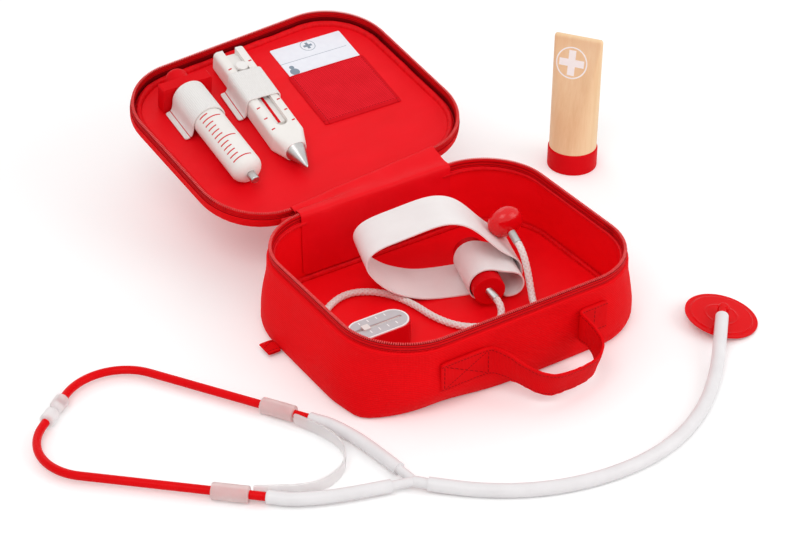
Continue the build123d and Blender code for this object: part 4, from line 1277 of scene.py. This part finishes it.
move_points(card_pocket, sew_down)
cloth_of(card_pocket, MESH, 1, 0.0005, put=POCKET_AT)
carried(card_pocket, "lid", "red_mesh", "card_pocket")

# ---- elastic bands over the tools
BARREL_REACH = 14.78
over_barrel = [
    (BARREL_REACH * math.sin(math.radians(angle)), BARREL_REACH * math.cos(math.radians(angle)))
    for angle in range(-90, 91, 15)
]
SYRINGE_RUN = [
    (-22.0, -12.2), (-19, -12.3), (-16.6, -11.6), (-15.2, -8.5), (-14.6, -4),
    *over_barrel, (14.6, -4), (14.5, -9), (14.6, -13),
]
THERMOMETER_RUN = [
    (-23.0, -8.6), (-20, -8.7), (-17.8, -8.2), (-16.0, -6.2), (-15.5, -2), (-15.5, 3),
    (-15.5, 6.6), (-14.9, 9.4), (-13.0, 11.0), (-9.5, 11.2), (-5, 11.2), (0, 11.2), (5, 11.2),
    (9.5, 11.2), (13.0, 11.0), (14.9, 9.4), (15.5, 6.6), (15.5, 3), (15.5, -2), (15.5, -6),
    (15.5, -9.7),
]
for name, run, start, put, node in (
    ("syringe_band", SYRINGE_RUN, 1.5, SYRINGE_AT, "syringe_loop"),
    ("thermometer_band", THERMOMETER_RUN, 32, THERMOMETER_AT, "thermometer_loop"),
):
    elastic = band(name, [Vector((x, y, start)) * MM for x, y in run], (0, 0, 0.037), cuts=8)
    cloth_of(elastic, ELASTIC, 2, 0.0014, edge=0.0005, put=put)
    carried(elastic, "lid", "elastic_white", node)

# ---- carry strap
WALL_Y = -104.75
HANDLE_Y, HANDLE_Z = -108.2, 33.5
DROOP = math.radians(19)
HALF_STRAP = STRAP_WIDTH / MM / 2
STRAP_RUN = [
    *[(x, WALL_Y) for x in (-76, -70, -62, -54, -46, -38)], (-33.5, WALL_Y - 0.5),
    (-30, -107.8), (-26.5, -113), (-21, -121), (-15.5, -130), (-10, -138.5), (-3.5, -144.3),
    (5, -146.2), (14, -146.4), (24, -146.4), (33, -145.8), (41, -143), (47.5, -138),
    (51.8, -131), (53, -124), (51.8, -117), (50.2, -111.5), (50.2, -107), (52.6, WALL_Y - 0.3),
    *[(x, WALL_Y) for x in (57, 64, 71, 78)],
]
strap_foot = (HANDLE_Z - HALF_STRAP) * MM
strap = band(
    "carry_strap", [Vector((x * MM, y * MM, strap_foot)) for x, y in STRAP_RUN],
    (0, 0, STRAP_WIDTH), cuts=5,
)


def droop(place, normal):
    """The loop hangs a little below its ends and creases softly."""
    y, z = place.y / MM - HANDLE_Y, place.z / MM - HANDLE_Z
    if y > 0:
        return normal * soft_noise(place, 90, 3) * 0.15 * MM
    taut = Vector((0, y, z))
    hung = Matrix.Rotation(DROOP * min(1, -y / 14), 3, "X") @ taut
    hung.z += abs(z) / HALF_STRAP * soft_noise(place, 210, 4) * 0.9 - z * 0.10 * bell(y + 20, 12)
    return (hung - taut + normal * soft_noise(place, 70, 6) * 0.6) * MM


cloth_of(strap, WEBBING, 2, 0.0021, droop, edge=0.0007)
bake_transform(strap)
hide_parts("carry_handle", "handle_patches")

TAB_RUN = (
    (-137.0, 3.3), (-142, 3.2), (-147.6, 3.2), (-148.9, 4.0), (-147.6, 4.8), (-142, 4.7),
    (-137.0, 4.6),
)
side_tab = band(
    "folded_tab", [Vector((x, 25.5, z)) * MM for x, z in TAB_RUN], (0, 0.015, 0), cuts=5,
)
cloth_of(side_tab, WEBBING, 2, 0.0006)
carried(side_tab, "case", "red_cloth", "side_tab")

# ---- boots and spring strip of the stethoscope
HEAD_TURN = Matrix.Rotation(math.radians(-49.6), 4, "Z")


def head_point(along, out, height=6.6):
    """A point of the headset, which lies level on the floor."""
    return (HEAD_TURN @ Vector((along, out, 0)) + Vector((-319.3, 49.5, height))) * MM


def boot_radius(way, angle):
    """A boot's radius, with a rounded lip at its start, and no dip."""
    return (4.9 + 0.35 * bell(way / MM, 1.6) - 0.9 * bell(way / MM, 0.35)) * MM, 0.0


BOOT_RUN = ((186, 45.8), (195, 44.7), (204, 43.5), (226, 34.5), (246.5, 22.3), (266, 9.5))
STRIP_RUN = (
    (175, 42.3), (182, 40.4), (190, 37.8), (201, 33.8), (212, 28.6), (219.5, 22.3), (224.6, 13.5),
    (227.2, 4.5), (227.2, 0),
)
for side, hand in ((-1, "left"), (1, "right")):
    route = [head_point(along, side * out) for along, out in BOOT_RUN]
    places = places_on(f"boot_{hand}_line", route, 0.0012)
    boot = finished(tube_along(f"boot_{hand}_hose", places, 28, boot_radius), HOSE)
    strip = band(
        f"strip_{hand}", [head_point(along, side * out, 1.6) for along, out in STRIP_RUN],
        (0, 0, 0.010), cuts=3,
    )
    cloth_of(strip, MILKY, 2, 0.0016, edge=0.0005)
    for piece, (start, start_out), (end, end_out) in (
        (boot, (254, 17), (222, 37)),
        (strip, (226, 6), (200, 33)),
    ):
        head_point(start, side * start_out)
        head_point(end, side * end_out)
        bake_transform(piece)
    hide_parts(f"boot_{hand}")
    if side < 0:
        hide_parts("spring_strip")

# ---- ointment tube
sizes = [(42.6, 42.6, 20.001), (42.7, 39.9, 27.0)]
for share in (0.15, 0.25, 0.35, 0.45, 0.55, 0.65, 0.75, 0.85, 0.93, 1.0):
    sizes.append((42.6 + 1.4 * share, 42.6 - 37.6 * share, 20 + 101 * share))
sizes += [
    (44, 5, 124), (43.9, 4.95, 125.3), (43.5, 4.6, 126.2), (42.8, 3.9, 127.0), (41.8, 2.9, 127.6),
    (40.6, 1.6, 127.95),
]
tube = lofted(
    "ointment_wood",
    [(width, depth, min(width, depth) / 2 - 0.12, height) for width, depth, height in sizes],
    bends=10, cuts=5,
)
placed(tube, Matrix.Translation((0.228, 0.135, 0)) @ Matrix.Rotation(TUBE_YAW, 4, "Z"))
carried(finished(tube, WOOD), "ointment_tube", "bare_wood", "ointment_body")

# ---- finishes of the pieces kept from the frame
for material, *names in (
    (RED_PAINT, "zip_slider", "zip_pull", "syringe_flange", "plunger", "cuff_roller"),
    (RED_PAINT, "ointment_cap", "thermometer_column"),
    (TUBE_RED, "ear_tube_left", "ear_tube_right", "chest_hub"),
    (CHEST, "chest_disc"),
    (GLOSS_RED, "bulb"),
    (GAUGE, "gauge_body"),
    (GREY, "gauge_face"),
    (BARREL, "syringe_barrel"),
    (THERMOMETER, "thermometer_body"),
    (WHITE_PAINT, "thermometer_strip", "thermometer_button", "gauge_marker"),
    (METAL, "syringe_nozzle", "thermometer_tip", "gauge_ferrules", "roller_ferrule"),
    (METAL, "bulb_ferrule"),
    (PAPER, "name_card"),
    (MILKY, "ear_tip_left", "ear_tip_right"),
    (SLEEVE, "spring_sleeve_left", "spring_sleeve_right"),
    (HOSE, "fork"),
):
    for name in names:
        finished(nodes[name], material)

# ---- floor, backdrop and light
nothing_held()
bpy.ops.mesh.primitive_plane_add(size=3.2, location=(0, 0, 0))
ground = bpy.context.object
ground.name = "ground"
pale = Finish("pale_ground", Roughness=0.9, Specular_IOR_Level=0.0, Emission_Strength=1.0)
seen = pale.looked_at()
for socket, unseen_grey, seen_grey in (("Base Color", 0.86, 0.97), ("Emission Color", 0.0, 0.1)):
    colours = [(grey, grey, grey, 1) for grey in (unseen_grey, seen_grey)]
    pale.join(pale.mix(seen, *colours), pale.shader.inputs[socket])
ground.data.materials.append(pale.material)

world = bpy.data.worlds.new("studio")
bpy.context.scene.world = world
world.use_nodes = True
backdrop = world.node_tree.nodes["Background"]
backdrop.inputs["Color"].default_value = (1, 1, 1, 1)
sky = Tree(world.node_tree)
levels = {"Value": sky.looked_at(), "To Min": 0.76, "To Max": 1.0}
sky.join(sky.node("ShaderNodeMapRange", (), levels), backdrop.inputs["Strength"])


def softbox(name, place, size, power, target=(0, 0, 0)):
    """A large soft lamp that points at a target."""
    lamp = bpy.data.lights.new(name, "AREA")
    lamp.shape = "SQUARE"
    lamp.size = size
    lamp.energy = power
    made = linked(name, lamp)
    made.location = place
    made.rotation_euler = (Vector(target) - Vector(place)).to_track_quat("-Z", "Y").to_euler()


softbox("key", (-0.9, -0.7, 1.6), 1.0, 8.5)
softbox("fill", (1.1, -1.3, 1.0), 1.2, 8)
softbox("back", (0.2, 1.6, 1.4), 1.0, 2.5, target=(0, 0.1, 0))
bpy.context.scene.view_settings.view_transform = "Standard"
